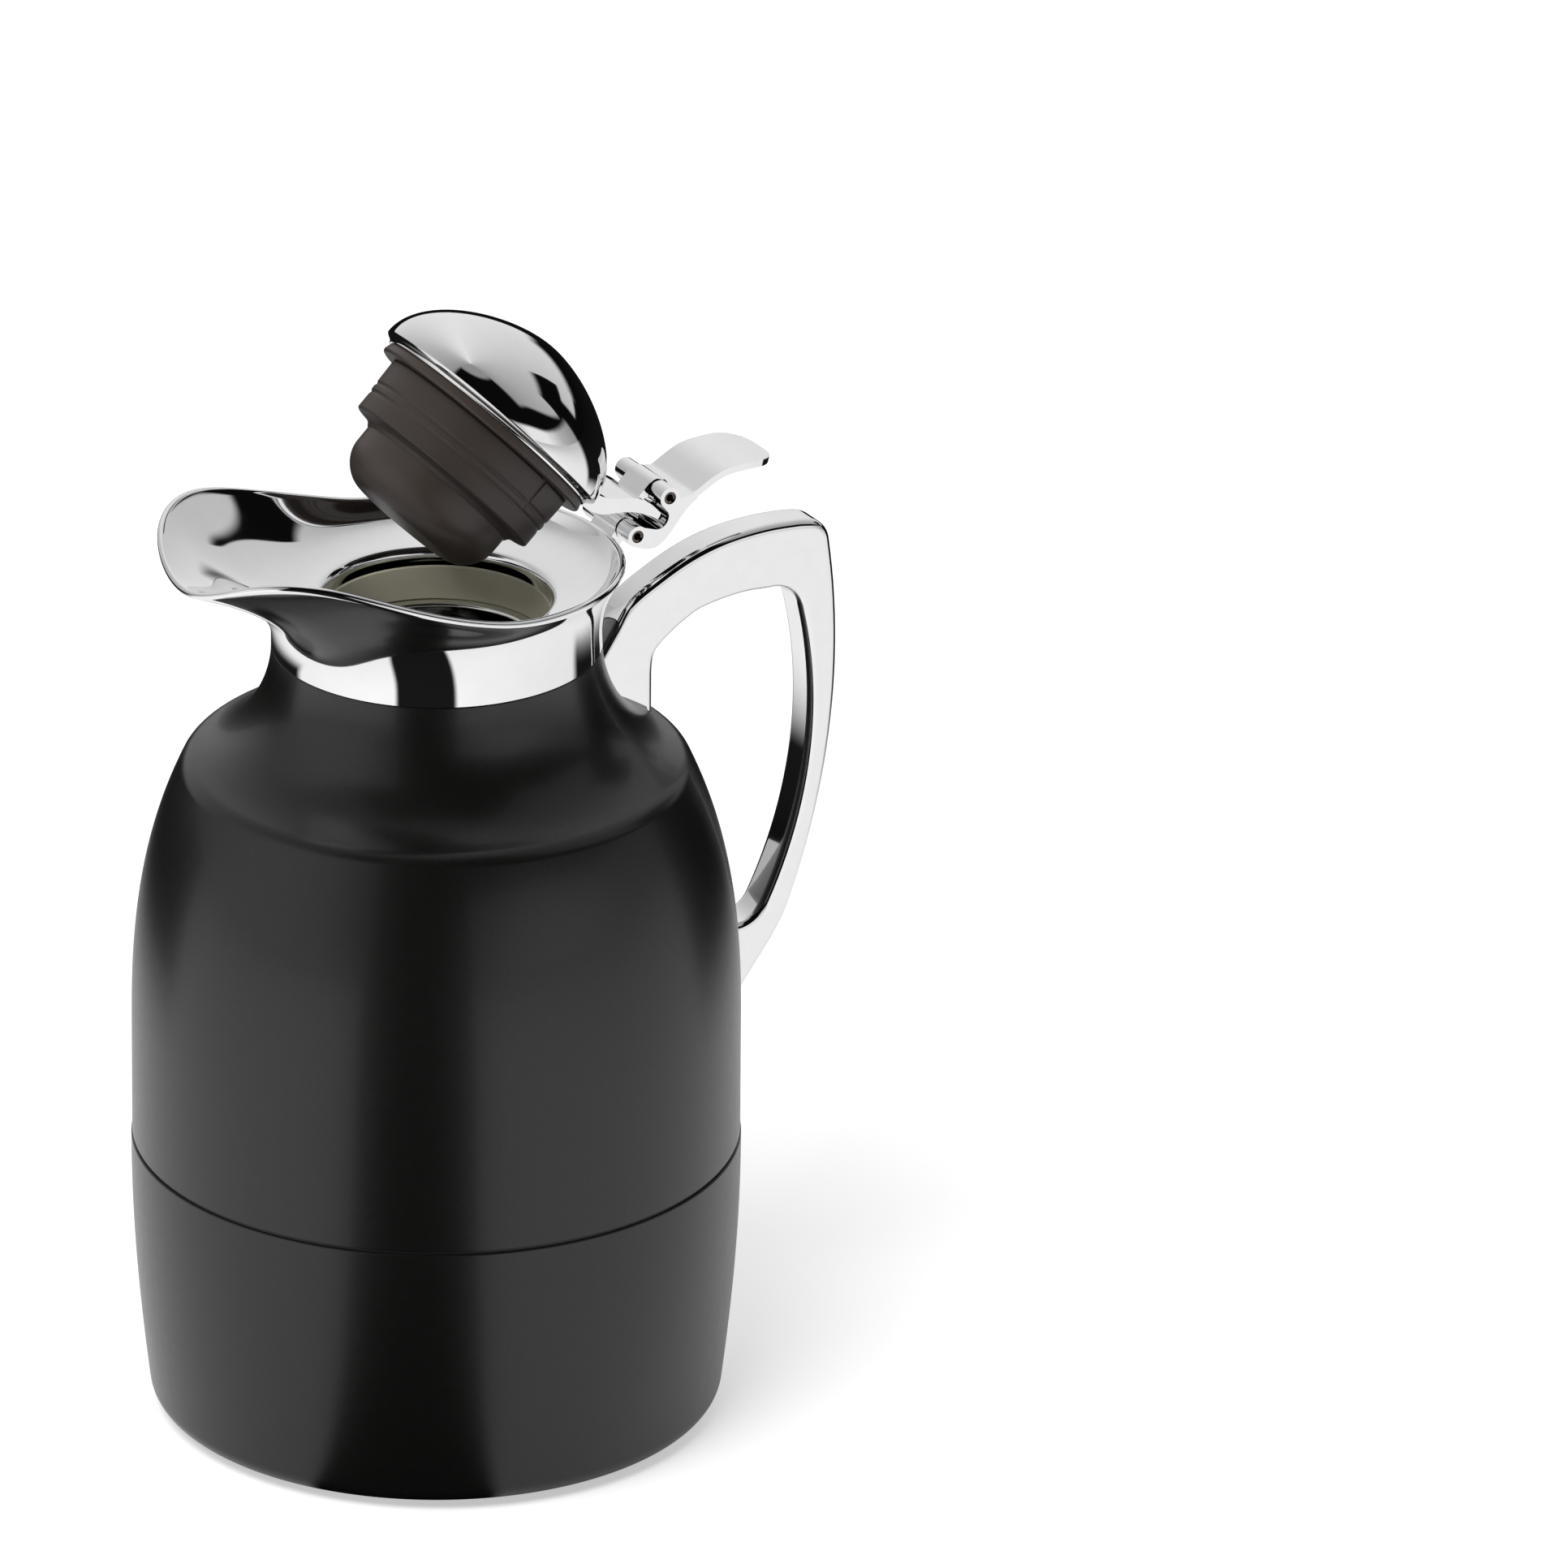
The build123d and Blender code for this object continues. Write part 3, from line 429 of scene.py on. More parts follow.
steel = finish("brushed_steel", {"Metallic": 1.0}, steel_surface)
spring_steel = finish("brown_spring_steel", {"Metallic": 1.0}, spring_steel_surface)
under_glass = {"Metallic": 1.0, "Coat Weight": 1.0, "Coat Roughness": 0.02}
silver = finish("silvered_glass", under_glass, silver_surface)
foam = finish("foam", {"Roughness": 0.9}, foam_surface)
print("materials so far:", len(bpy.data.materials))

# %% [markdown]
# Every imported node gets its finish, also those that later pieces stand for, so that nothing is left plain.

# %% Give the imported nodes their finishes
finishes = {
    "black_lacquer": lacquer,
    "chrome": chrome,
    "brushed_steel": steel,
    "spring_steel": spring_steel,
    "silvered_glass": silver,
    "cream_rubber": cream_rubber,
    "black_rubber": black_rubber,
    "black_plastic": black_plastic,
    "brown_plastic": brown_plastic,
    "brown_rubber": brown_rubber,
    "grey_pad": grey_pad,
    "foam": foam,
}
slots = {part["node"]: part["material_slot"] for part in frame["record"]["subparts"]}
for name, node in nodes.items():
    node.data.materials.clear()
    node.data.materials.append(finishes[slots[name]])
print("dressed nodes:", len(slots))


def stand_in(piece, node, body):
    """A finished piece takes the place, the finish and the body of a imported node."""
    piece.data.materials.clear()
    piece.data.materials.append(finishes[slots[node]])
    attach(piece, body)
    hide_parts(node)
    return piece


# %% [markdown]
# ## The body
# Two sheet metal shells meet at the seam. The upper one is spun: a straight wall, a long curve up to a
# small rolled shoulder, and a hollow sweep into the neck. Spinning the outline makes the same shape. The
# wall is added inwards by Solidify, and its edge at the seam is rounded as a trimmed and rolled edge is.

# %% Upper shell
body_radius = 69.0
lower_radius = 69.2
shell_wall = 0.9
seam = 66.0
seam_gap = 0.6
seam_rounding = 0.35
wall_top = 96.0
neck_radius = 37.3
neck_top = 185.7
neck_lip = 3.4
shoulder = Vector((54.6, 158.4))
shoulder_slope = -18.1
shoulder_turn = 47.0
shoulder_rounding = 5.6
shoulder_chord = 2 * shoulder_rounding * math.sin(math.radians(shoulder_turn / 2))
shoulder_end = shoulder + heading(shoulder_slope - shoulder_turn / 2) * shoulder_chord
shoulder_pull = arc_pull(shoulder_rounding, math.radians(shoulder_turn))

upper_outline = [
    (neck_radius - neck_lip, neck_top),
    (neck_radius, neck_top, 0.4),
    (neck_radius, neck_top - 0.5, -90, 0, 9.5),
    (*shoulder, shoulder_slope, 11.8, shoulder_pull),
    (*shoulder_end, shoulder_slope - shoulder_turn, shoulder_pull, 17.0),
    (body_radius, wall_top, -90, 26.4, 10.0),
    (body_radius, seam + seam_gap / 2, seam_rounding),
    (body_radius - shell_wall, seam + seam_gap / 2),
]
upper_shell = turned("upper_shell_spun", upper_outline, steps=240, fineness=20, wall=shell_wall)
stand_in(smooth(upper_shell), "upper_shell", "jug")

# %% [markdown]
# The lower shell stands 0.2 mm prouder than the upper one, which makes the seam's fine step. It narrows
# slowly to the base, turns under with a small round, and ends in a lip that the base frame holds.

# %% Lower shell
base_radius = 65.2
base_lift = 1.6
base_rounding = 4.0
base_pull = arc_pull(base_rounding, math.pi / 2)
base_lip = 3.5
lower_outline = [
    (lower_radius - shell_wall, seam - seam_gap / 2),
    (lower_radius, seam - seam_gap / 2, seam_rounding),
    (lower_radius, seam - 1.2, -90, 0, 20.0),
    (base_radius, base_lift + base_rounding, -97, 21.0, base_pull),
    (base_radius - base_rounding, base_lift, 180, base_pull, 0),
    (base_radius - base_rounding - base_lip, base_lift),
]
lower_shell = turned("lower_shell_spun", lower_outline, steps=240, fineness=20, wall=shell_wall)
stand_in(smooth(lower_shell), "lower_shell", "jug")

# %% [markdown]
# ## The flask's mouth
# Looking into the mouth one sees two rings of glass: the flask's double wall is joined there in a round
# rim. Below it the inner wall widens into a silvered vessel. The gasket is a soft sleeve that sits on the
# rim and closes the gap to the collar.

# %% Inner glass
glass_radius = 54.0
glass_wall = 1.5
glass_foot = 29.0
belly_foot = 52.0
belly_top = 123.0
throat_radius = 24.3
throat_foot = 167.0
glass_rim_radius = 27.0
glass_rim_top = 185.2
glass_rim_depth = 1.6
glass_outline = [
    (pole, glass_foot + glass_wall, 0, 0, 27.0),
    (glass_radius - glass_wall, belly_foot, 90, 11.0, 0),
    (glass_radius - glass_wall, belly_top, 90, 0, 20.0),
    (throat_radius - glass_wall, throat_foot, 90, 20.0, 0),
    (throat_radius - glass_wall, glass_rim_top, 0.8),
    (glass_rim_radius, glass_rim_top, 0.8),
    (glass_rim_radius, glass_rim_top - glass_rim_depth),
    (throat_radius, glass_rim_top - glass_rim_depth),
    (throat_radius, throat_foot, -90, 0, 20.0),
    (glass_radius, belly_top, -90, 20.0, 0),
    (glass_radius, belly_foot, -90, 0, 11.5),
    (pole, glass_foot, 180, 27.0, 0),
]
inner_glass = turned("inner_glass_blown", glass_outline, steps=144, fineness=14)
stand_in(smooth(inner_glass), "inner_glass", "jug")

# %% Mouth gasket
gasket_bore = 25.5
gasket_radius = 30.4
gasket_foot = 176.0
gasket_top = 193.5
gasket_outline = [
    (gasket_bore, glass_rim_top, 0.3),
    (gasket_bore, gasket_top, 0.6),
    (gasket_radius, gasket_top, 0.4),
    (gasket_radius, gasket_foot, 0.4),
    (glass_rim_radius, gasket_foot, 0.4),
    (glass_rim_radius, glass_rim_top, 0.2),
]
mouth_gasket = turned("mouth_gasket_moulded", gasket_outline, steps=144, closed=True)
stand_in(smooth(mouth_gasket), "mouth_gasket", "jug")

# %% [markdown]
# ## The spout collar
# The collar is one pressing: a short neck, a flare that leans out to a rolled rim, and a bowl that leads
# back down to the pouring mouth. Towards the spout its rim swings up and out. No spin or bevel makes such
# a rim, so a grid is bent round instead. Its one side goes round the jug, its other side runs through the
# section, and both close on themselves. The rim's course is given at a few stations, and a cubic spline
# joins them, because a mirror shows every break in the bend.

# %% The rim's course round the jug
# Each station has its azimuth from the handle, the rim's radius and rise, the lip's lean, the slope of both
# walls under the lip, how far the bowl runs flat and curls up, and how upright the outside starts.
rim_stations = (
    (0, 42.4, 0.0, 62, 62, 11.5, 4.5, 0.50),
    (20, 42.2, 0.0, 62, 62, 11.5, 4.5, 0.50),
    (40, 41.4, 0.0, 63, 62, 11.5, 4.2, 0.52),
    (60, 40.3, 0.1, 65, 62, 11.5, 3.6, 0.58),
    (75, 39.8, 0.4, 67, 60, 11.5, 3.4, 0.66),
    (90, 40.4, 1.3, 70, 58, 11.5, 4.0, 0.71),
    (105, 43.2, 4.0, 72, 54, 11.0, 7.0, 0.72),
    (120, 47.2, 8.0, 74, 52, 11.0, 10.5, 0.66),
    (135, 52.1, 12.8, 76, 53, 11.5, 13.5, 0.52),
    (150, 58.3, 16.1, 74, 54, 13.5, 16.0, 0.38),
    (160, 62.7, 14.8, 62, 48, 15.5, 17.0, 0.38),
    (170, 65.2, 10.4, 34, 30, 17.5, 16.5, 0.44),
    (180, 65.6, 7.6, 18, 18, 18.5, 16.0, 0.50),
)
rear_rim_height = 204.7

# %% A cubic spline through the stations


def spline_bends(places, values):
    """Second derivatives of a cubic spline that is level at both ends."""
    count = len(places)
    gaps = np.diff(places)
    slopes = np.diff(values) / gaps
    table = np.zeros((count, count))
    right = np.zeros(count)
    table[0, :2] = 2 * gaps[0], gaps[0]
    table[-1, -2:] = gaps[-1], 2 * gaps[-1]
    right[0], right[-1] = 6 * slopes[0], -6 * slopes[-1]
    for row in range(1, count - 1):
        table[row, row - 1:row + 2] = gaps[row - 1], 2 * (gaps[row - 1] + gaps[row]), gaps[row]
        right[row] = 6 * (slopes[row] - slopes[row - 1])
    return np.linalg.solve(table, right)


def spline_value(places, values, bends, place):
    """The spline's value at one place."""
    index = min(max(int(np.searchsorted(places, place)) - 1, 0), len(places) - 2)
    gap = places[index + 1] - places[index]
    before, after = (places[index + 1] - place) / gap, (place - places[index]) / gap
    bend = ((before**3 - before) * bends[index] + (after**3 - after) * bends[index + 1]) * gap**2 / 6
    return before * values[index] + after * values[index + 1] + bend


station_places = np.array([station[0] for station in rim_stations], float)
station_columns = np.array(rim_stations, float).T[1:]
station_bends = [spline_bends(station_places, column) for column in station_columns]


def rim_at(azimuth):
    """What the stations give, worked out at any angle from the handle."""
    folded = abs((azimuth + 180) % 360 - 180)
    return [
        spline_value(station_places, column, bends, folded)
        for column, bends in zip(station_columns, station_bends)
    ]


print("rim at the spout:", [round(float(value), 2) for value in rim_at(180)])

# %% Points along the stretches of a section


def bezier(start, pull, push, end, count):
    """Points along one Bezier stretch, without its last one."""
    spots = interpolate_bezier(start.to_3d(), pull.to_3d(), push.to_3d(), end.to_3d(), count + 1)
    return [spot.to_2d() for spot in spots[:-1]]


def straight(corners, count=1):
    """Points along straight stretches, without the last one."""
    spots = []
    for start, end in zip(corners, corners[1:]):
        spots += [start.lerp(end, step / count) for step in range(count)]
    return spots


# %% [markdown]
# The section starts at the mouth's foot, on the gasket. It rounds the mouth's lip, follows the bowl up to
# the rolled rim, comes down the outside to the flare and the neck, and returns by the hidden side, which
# stands on the body. Each bend is one Bezier stretch, and the flare's pull is a share of its rise.

# %% The collar's section
mouth = Vector((26.0, 197.3))
mouth_foot = Vector((25.7, gasket_top))
mouth_lip = Vector((25.72, 195.0))
mouth_handle = Vector((25.75, 196.3))
mouth_rounding = 1.4
mouth_pull = 1.1
bowl_slope = 14.0
bowl_edge = mouth + heading(bowl_slope) * mouth_rounding
bowl_handle = bowl_edge - heading(bowl_slope) * mouth_pull
rim_half = 0.9
rim_pull = 0.5
flare_lift = 2.3
flare = Vector((neck_radius, neck_top + flare_lift))
flare_pull = 0.3
collar_seat = 0.1
collar_foot = neck_top + collar_seat
collar_wall = 2.0
ceiling = 195.6
ceiling_bevel = 1.0
hidden_side = [
    Vector((neck_radius, collar_foot)),
    Vector((neck_radius - collar_wall, collar_foot)),
    Vector((neck_radius - collar_wall, ceiling - ceiling_bevel)),
    Vector((neck_radius - collar_wall - ceiling_bevel, ceiling)),
    Vector((mouth_foot.x + collar_wall, ceiling)),
    Vector((mouth_foot.x + collar_wall, gasket_top)),
    mouth_foot,
]
foot_steps = 2
lip_steps = 10
bowl_steps = 28
rim_steps = 5
flare_steps = 26
neck_steps = 3


def collar_section(azimuth):
    """The collar's closed section at an angle from the handle, as radius and height in millimetres."""
    radius, rise, lean, slope, flat, curl, upright = rim_at(azimuth)
    crest = Vector((radius, rear_rim_height + rise))
    out, across = heading(lean) * rim_half, heading(lean - 90) * rim_half
    inner, outer = crest - out - across, crest - out + across
    rise_line = outer - flare
    along, over = heading(lean) * rim_pull, heading(lean - 90) * rim_pull
    bowl_start = mouth + heading(bowl_slope) * flat
    bowl_end = inner - heading(slope) * curl
    flare_start = outer - heading(slope) * rise_line.length * flare_pull
    flare_end = flare + Vector((0, rise_line.y * upright))
    return (
        straight((mouth_foot, mouth_lip), foot_steps)
        + bezier(mouth_lip, mouth_handle, bowl_handle, bowl_edge, lip_steps)
        + bezier(bowl_edge, bowl_start, bowl_end, inner, bowl_steps)
        + bezier(inner, inner + along, crest - over, crest, rim_steps)
        + bezier(crest, crest + over, outer + along, outer, rim_steps)
        + bezier(outer, flare_start, flare_end, flare, flare_steps)
        + straight((flare, hidden_side[0]), neck_steps)
        + straight(hidden_side)
    )


# %% Bend a grid round the jug
around = 288
through = len(collar_section(0))
closing_reach = 0.001 * mm
bpy.ops.object.select_all(action="DESELECT")
bpy.ops.mesh.primitive_grid_add(x_subdivisions=around, y_subdivisions=through, size=1)
collar = bpy.context.active_object
collar.name = "spout_collar_pressed"
sections = [collar_section(360 * step / around) for step in range(around)]
for vertex in collar.data.vertices:
    step = round((vertex.co.x + 0.5) * around) % around
    radius, height = sections[step][round((vertex.co.y + 0.5) * through) % through]
    angle = 2 * math.pi * step / around
    vertex.co = Vector((radius * math.cos(angle), radius * math.sin(angle), height)) * mm
edit(
    collar,
    (bpy.ops.mesh.remove_doubles, {"threshold": closing_reach}),
    (bpy.ops.mesh.normals_make_consistent, {"inside": False}),
)
stand_in(smooth(collar, 40), "spout_collar", "jug")
print("collar faces:", len(collar.data.polygons))

# %% [markdown]
# ## The handle
# The handle is a chromed casting of one thickness, so its outline says everything. The outline is drawn as
# a flat curve, filled and extruded, and the curve's own bevel rounds both edges. What would reach inside
# the body is cut off by the body's own shape, so that the handle lands on the lacquer as the real one does.

# %% Keep flat sides flat
squareness = 0.9999


def flat_sided(piece, across=Vector((0, 1, 0))):
    """Let the normals follow the flat side faces, so that those mirror as true planes."""
    alone(piece)
    bpy.context.tool_settings.mesh_select_mode = (False, False, True)
    for face in piece.data.polygons:
        face.select = abs(face.normal.dot(across)) > squareness
    bpy.ops.object.mode_set(mode="EDIT")
    bpy.ops.mesh.mod_weighted_strength(set=True, face_strength="STRONG")
    bpy.ops.object.mode_set(mode="OBJECT")
    return modify(piece, "WEIGHTED_NORMAL", keep_sharp=True, use_face_influence=True)


# %% The handle's outline
handle_width = 9.4
handle_edge = 2.0
root_top = (38.0, 172.0)
root_foot = (38.0, 150.0)
crown = (
    (43.6, 180.4), (47.6, 186.2), (55.7, 191.1), (64.3, 194.9),
    (73.0, 197.1), (82.8, 197.9), (91.5, 197.5),
)
crown_end = (95.2, 196.9)
crown_slope = -11.0
crown_pull = 1.2
grip_back = ((100.4, 191.5), (90.5, 103.3))
heel_pull = 8.0
grip_root = (76.6, 100.9)
grip_front = ((83.4, 105.0), (92.3, 176.5))
throat_start = (85.3, 182.1)
throat_pull = 2.8
throat = ((77.0, 182.4), (67.1, 181.0), (62.8, 179.1), (58.0, 176.0), (55.4, 173.7), (54.4, 172.0))
throat_end = (54.0, 168.2)


def arcs(start, facing, *ends):
    """Smooth knots along arcs that leave the start on a heading, each tangent to the one before."""
    spots = [Vector(start), *[Vector(end) for end in ends]]
    found = []
    pull = 0
    for here, there in zip(spots, spots[1:]):
        chord = there - here
        line = math.degrees(math.atan2(chord.y, chord.x))
        turn = 2 * ((line - facing + 180) % 360 - 180)
        bow = chord.length / (2 * math.sin(math.radians(turn) / 2))
        reach = abs(arc_pull(bow, math.radians(turn)))
        found.append((*here, facing, pull, reach))
        facing, pull = facing + turn, reach
    found.append((*spots[-1], facing, pull, 0))
    return found


def through_points(points, first, last):
    """Smooth knots through points, each heading along the line between its neighbours."""
    spots = [Vector(point) for point in (first, *points, last)]
    found = []
    for before, here, after in zip(spots, spots[1:], spots[2:]):
        line = after - before
        facing = math.degrees(math.atan2(line.y, line.x))
        found.append((*here, facing, (here - before).length / 3, (after - here).length / 3))
    return found


# %% Draw the handle and raise it to its thickness
outer_arcs = arcs(crown_end, crown_slope, *grip_back)
inner_arcs = arcs(grip_root, 0.0, *grip_front, throat_start)
outer_arcs[0] = (*outer_arcs[0][:3], crown_pull, outer_arcs[0][4])
outer_arcs[-1] = (*outer_arcs[-1][:4], heel_pull)
inner_arcs[-1] = (*inner_arcs[-1][:4], throat_pull)
handle_outline = [
    root_top,
    *through_points(crown, root_top, crown_end),
    *outer_arcs,
    (77.4, 83.6, -123, 8.0, 5.0),
    (66.0, 67.5),
    (60.0, 80.0),
    (60.0, 101.2),
    *inner_arcs,
    *through_points(throat, throat_start, throat_end),
    throat_end,
    (throat_end[0], root_foot[1]),
    root_foot,
]
handle = drawn("handle_cast", handle_outline, fineness=24, closed=True, flat=True)
handle.data.dimensions = "2D"
handle.data.fill_mode = "BOTH"
handle.data.extrude = (handle_width / 2 - handle_edge) * mm
handle.data.bevel_depth = handle_edge * mm
handle.data.bevel_resolution = 7
handle.data.offset = -handle_edge * mm
alone(handle)
bpy.ops.object.convert(target="MESH")
place(handle, Matrix.Rotation(math.pi / 2, 4, "X"))
edit(
    handle,
    (bpy.ops.mesh.remove_doubles, {"threshold": doubles}),
    (bpy.ops.mesh.normals_make_consistent, {"inside": False}),
)

# %% Cut the handle to the body
cutter_foot = 8.0
cutter_outline = [
    (pole, neck_top),
    *upper_outline[1:6],
    (body_radius, seam),
    (base_radius, cutter_foot),
    (pole, cutter_foot),
]
cutter = turned("body_filled", cutter_outline, steps=240, fineness=20)
modify(handle, "BOOLEAN", object=cutter, operation="DIFFERENCE", solver="EXACT")
bpy.data.objects.remove(cutter)
stand_in(flat_sided(smooth(handle, 35)), "handle", "jug")
print("handle faces:", len(handle.data.polygons))

# %% [markdown]
# ## The hinge
# The fixed knuckle, the thumb lever and the lid's arm are small castings. Their shapes are right as they
# are packed, but every real edge is broken by polishing, and a mirror needs such an edge to catch the
# light. So each is copied, its loose triangles are merged into faces, and a fine bevel runs round it.

# %% Polish the hinge's castings
casting_doubles = 0.004 * mm
casting_flat = math.radians(0.6)
casting_corner = 32


def polished(node, name, body, width=0.25):
    """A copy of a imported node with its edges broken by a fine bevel."""
    piece = bpy.data.objects.new(name, nodes[node].data.copy())
    bpy.context.scene.collection.objects.link(piece)
    alone(piece)
    bpy.ops.mesh.customdata_custom_splitnormals_clear()
    edit(
        piece,
        (bpy.ops.mesh.remove_doubles, {"threshold": casting_doubles}),
        (bpy.ops.mesh.dissolve_limited, {"angle_limit": casting_flat}),
        (bpy.ops.mesh.normals_make_consistent, {"inside": False}),
    )
    modify(
        piece,
        "BEVEL",
        width=width * mm,
        segments=3,
        limit_method="ANGLE",
        angle_limit=math.radians(casting_corner),
        use_clamp_overlap=True,
    )
    smooth(piece, casting_corner)
    modify(piece, "WEIGHTED_NORMAL", keep_sharp=True)
    stand_in(piece, node, body)
    print(name, "faces:", len(piece.data.polygons))
    return piece


polished("hinge_bracket", "hinge_bracket_polished", "jug", 0.2)
polished("thumb_lever", "thumb_lever_polished", "lever")
polished("lid_arm", "lid_arm_polished", "lid")

# %% [markdown]
# ## The lid
# The lid is a hollow dome on a stopper, all turned about one axis that leans back while the lid is open.
# The pieces are spun upright, and then placed on that axis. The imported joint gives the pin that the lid
# swings on, and the angle from closed to open. The seat is the middle of the flange's underside, and it is
# given as it lies from the pin while the lid is closed.

# %% Where the open lid stands
lever_hinge = joints["lever_hinge"]
lever_pin = Vector(lever_hinge["pos_m"])
open_angle = math.radians(-lever_hinge["range_deg"][0])
closed_seat = Vector((-45.5 * mm, 0, -6.2 * mm))
lid_tip = Matrix.Rotation(open_angle, 4, "Y")
lid_seat = lid_tip @ closed_seat + lever_pin
lid_place = Matrix.Translation(lid_seat) @ lid_tip
print("lid seat:", [round(value, 4) for value in lid_seat])


def seat_on_lid(piece, node):
    """Move a piece that was spun upright onto the lid's axis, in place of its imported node."""
    stand_in(smooth(place(piece, lid_place)), node, "lid")


# %% [markdown]
# The dome is thin sheet, spun over a former, with a small lip where it meets the flange. Half a sphere
# would stand too high, and it has no lip. So a single Bezier stretch is drawn from the lip to the pole and
# spun, and Solidify adds the wall inside.

# %% Dome
dome_wall = 1.0
dome_radius = 30.1
dome_top = 25.1
dome_outline = [
    (28.25, 2.45),
    (28.4, 2.5, 0.1),
    (28.55, 2.95, 52, 0.15, 0.5),
    (dome_radius, 4.3, 90, 0.6, 11.0),
    (pole, dome_top, 180, 11.9, 0),
]
dome = turned("lid_dome_spun", dome_outline, steps=240, fineness=48, wall=dome_wall)
seat_on_lid(dome, "lid_dome")

# %% [markdown]
# The stopper is moulded in three pieces. The flange closes the dome, and its stud reaches up into it. The
# seal is a soft sleeve with two fine grooves round it, and an upright slot in each of its sides, as a vent.
# The bulb hangs in the flask's throat when the lid is closed. All three are round, so they are spun as well,
# and only the vents are cut, each by a thin box that a Boolean takes away.

# %% Stopper flange
plug_foot = -3.0
plug_radius = 18.1
flange_top = 2.6
stud_radius = 4.0
stud_top = 16.6
flange_outline = [
    (pole, plug_foot),
    (plug_radius, plug_foot, 0.5),
    (plug_radius, 0.0, 0.3),
    (28.5, 0.0, 0.7),
    (27.7, flange_top, 0.5),
    (stud_radius, flange_top, 0.3),
    (stud_radius, stud_top, 0.4),
    (pole, stud_top),
]
flange = turned("stopper_flange_moulded", flange_outline)
seat_on_lid(flange, "stopper_flange")

# %% Stopper seal
seal_bore = 19.95
seal_outline = [
    (seal_bore, 0.0),
    (24.95, 0.0, 0.6),
    (24.75, -5.9, 0.3),
    (24.4, -6.5, 0.25),
    (24.7, -7.2, 0.2),
    (24.65, -8.1, 0.3),
    (24.25, -8.7, 0.3),
    (24.45, -9.4, 0.4),
    (24.45, -13.3, 0.55),
    (22.3, -13.6, 0.6),
    (20.7, -14.2, 1.0),
    (seal_bore, -15.2),
]
vent_turns = (-79, 79)
vent_size = (0.9, 1.5, 15.0)
vent_middle = Vector((25.0 * mm, 0, -7.0 * mm))
seal = turned("stopper_seal_moulded", seal_outline, closed=True)
for turn in vent_turns:
    bpy.ops.object.select_all(action="DESELECT")
    spot = Matrix.Rotation(math.radians(turn), 4, "Z") @ vent_middle
    bpy.ops.mesh.primitive_cube_add(size=mm, location=spot, rotation=(0, 0, math.radians(turn)))
    vent = bpy.context.active_object
    vent.scale = vent_size
    modify(seal, "BOOLEAN", object=vent, operation="DIFFERENCE", solver="EXACT")
    bpy.data.objects.remove(vent)
seat_on_lid(seal, "stopper_seal")

# %% Stopper bulb
bulb_wall = 2.0
bulb_foot = -26.9
bulb_outline = [
    (19.9, 0.0),
    (19.7, -19.0, -90, 0, 4.5),
    (12.5, bulb_foot, 180, 3.0, 0),
    (pole, bulb_foot),
]
bulb = turned("stopper_bulb_moulded", bulb_outline, fineness=20, wall=bulb_wall)
seat_on_lid(bulb, "stopper_bulb")

# %% [markdown]
# ## The studio
# A mirror shows the room and not itself, so chrome is lit with large soft shapes and with dark gaps between
# them. The camera stands far off and looks through a long lens, so that the jug hardly narrows downwards.

# %% Camera
camera_place = Vector((-2.23488, -3.90881, 2.13968))
camera_forward = Vector((0.46778362, 0.78610943, -0.40399313))
camera_roll = math.radians(0.47)
bpy.ops.object.select_all(action="DESELECT")
bpy.ops.object.camera_add(location=camera_place)
camera = bpy.context.active_object
camera.rotation_mode = "QUATERNION"
camera_tip = Matrix.Rotation(camera_roll, 4, "Z").to_quaternion()
camera.rotation_quaternion = camera_forward.to_track_quat("-Z", "Y") @ camera_tip
camera.data.sensor_width = 36.0
camera.data.lens = 501.3
camera.data.clip_end = 100
bpy.context.scene.camera = camera
bpy.context.view_layer.update()
print("camera right:", [round(value, 5) for value in camera.matrix_world.col[0]])

# %% [markdown]
# The room is painted into the world by direction: a soft wall of light on the left and one on the right, a
# dark gap between them behind the camera, and a pale canopy above that is brightest at the back. At the
# right rear the canopy's edge rises and leaves a second gap, with one low bright strip in it, which the
# spout's tip mirrors. A turn is counted in degrees from the camera, with the right side positive, and a lift
# in degrees above the floor. The camera itself sees plain white there. Lamps and cards would do the same,
# but a painted direction has no size or distance to balance.

# %% Turns, counted from the camera
camera_azimuth = math.atan2(camera_place.y, camera_place.x)


def from_camera(spot):
    """A place or direction with its x towards the camera, as its turn and its three coordinates."""
    towards = {"Vector": spot, "Angle": -camera_azimuth}
    faced = spot.node("VectorRotate", towards, {"rotation_type": "Z_AXIS"})
    split = faced.node("SeparateXYZ", {"Vector": faced})
    x, y, z = [Flow(split.tree, output) for output in split.socket.node.outputs]
    return y.math("ARCTAN2", y, x) * math.degrees(1), (x, y, z)


# %% The room, painted by direction
left_wall = (-132, -25)
left_wall_top = (37, 43)
left_levels = ((0, 0.24), (0.22, 0.5), (0.45, 0.76), (0.62, 0.82), (0.79, 0.745), (0.9, 0.5), (1, 0.4))
right_wall = (13, 108)
right_wall_top = (15, 21)
right_levels = ((0, 0.55), (0.12, 0.6), (0.24, 0.85), (0.5, 0.85), (0.75, 0.45), (1, 0.3))
canopy_start = (50, 60)
canopy_levels = ((0, 0.28), (0.54, 0.5), (1, 0.83))
canopy_top = (69, 75)
canopy_edge = 40
side_turns = (60, 110)
side_drop = 23
rear_drop = 20
left_rear = (-127, -112)
right_rear = (132, 137)
middle_rear = (160, 170)
rear_gap = (106, 134)
rear_gap_rise = 16
strip_turns = (124, 140)
strip_lifts = (7, 17)
soft_edge = 2
dimmest = 0.003


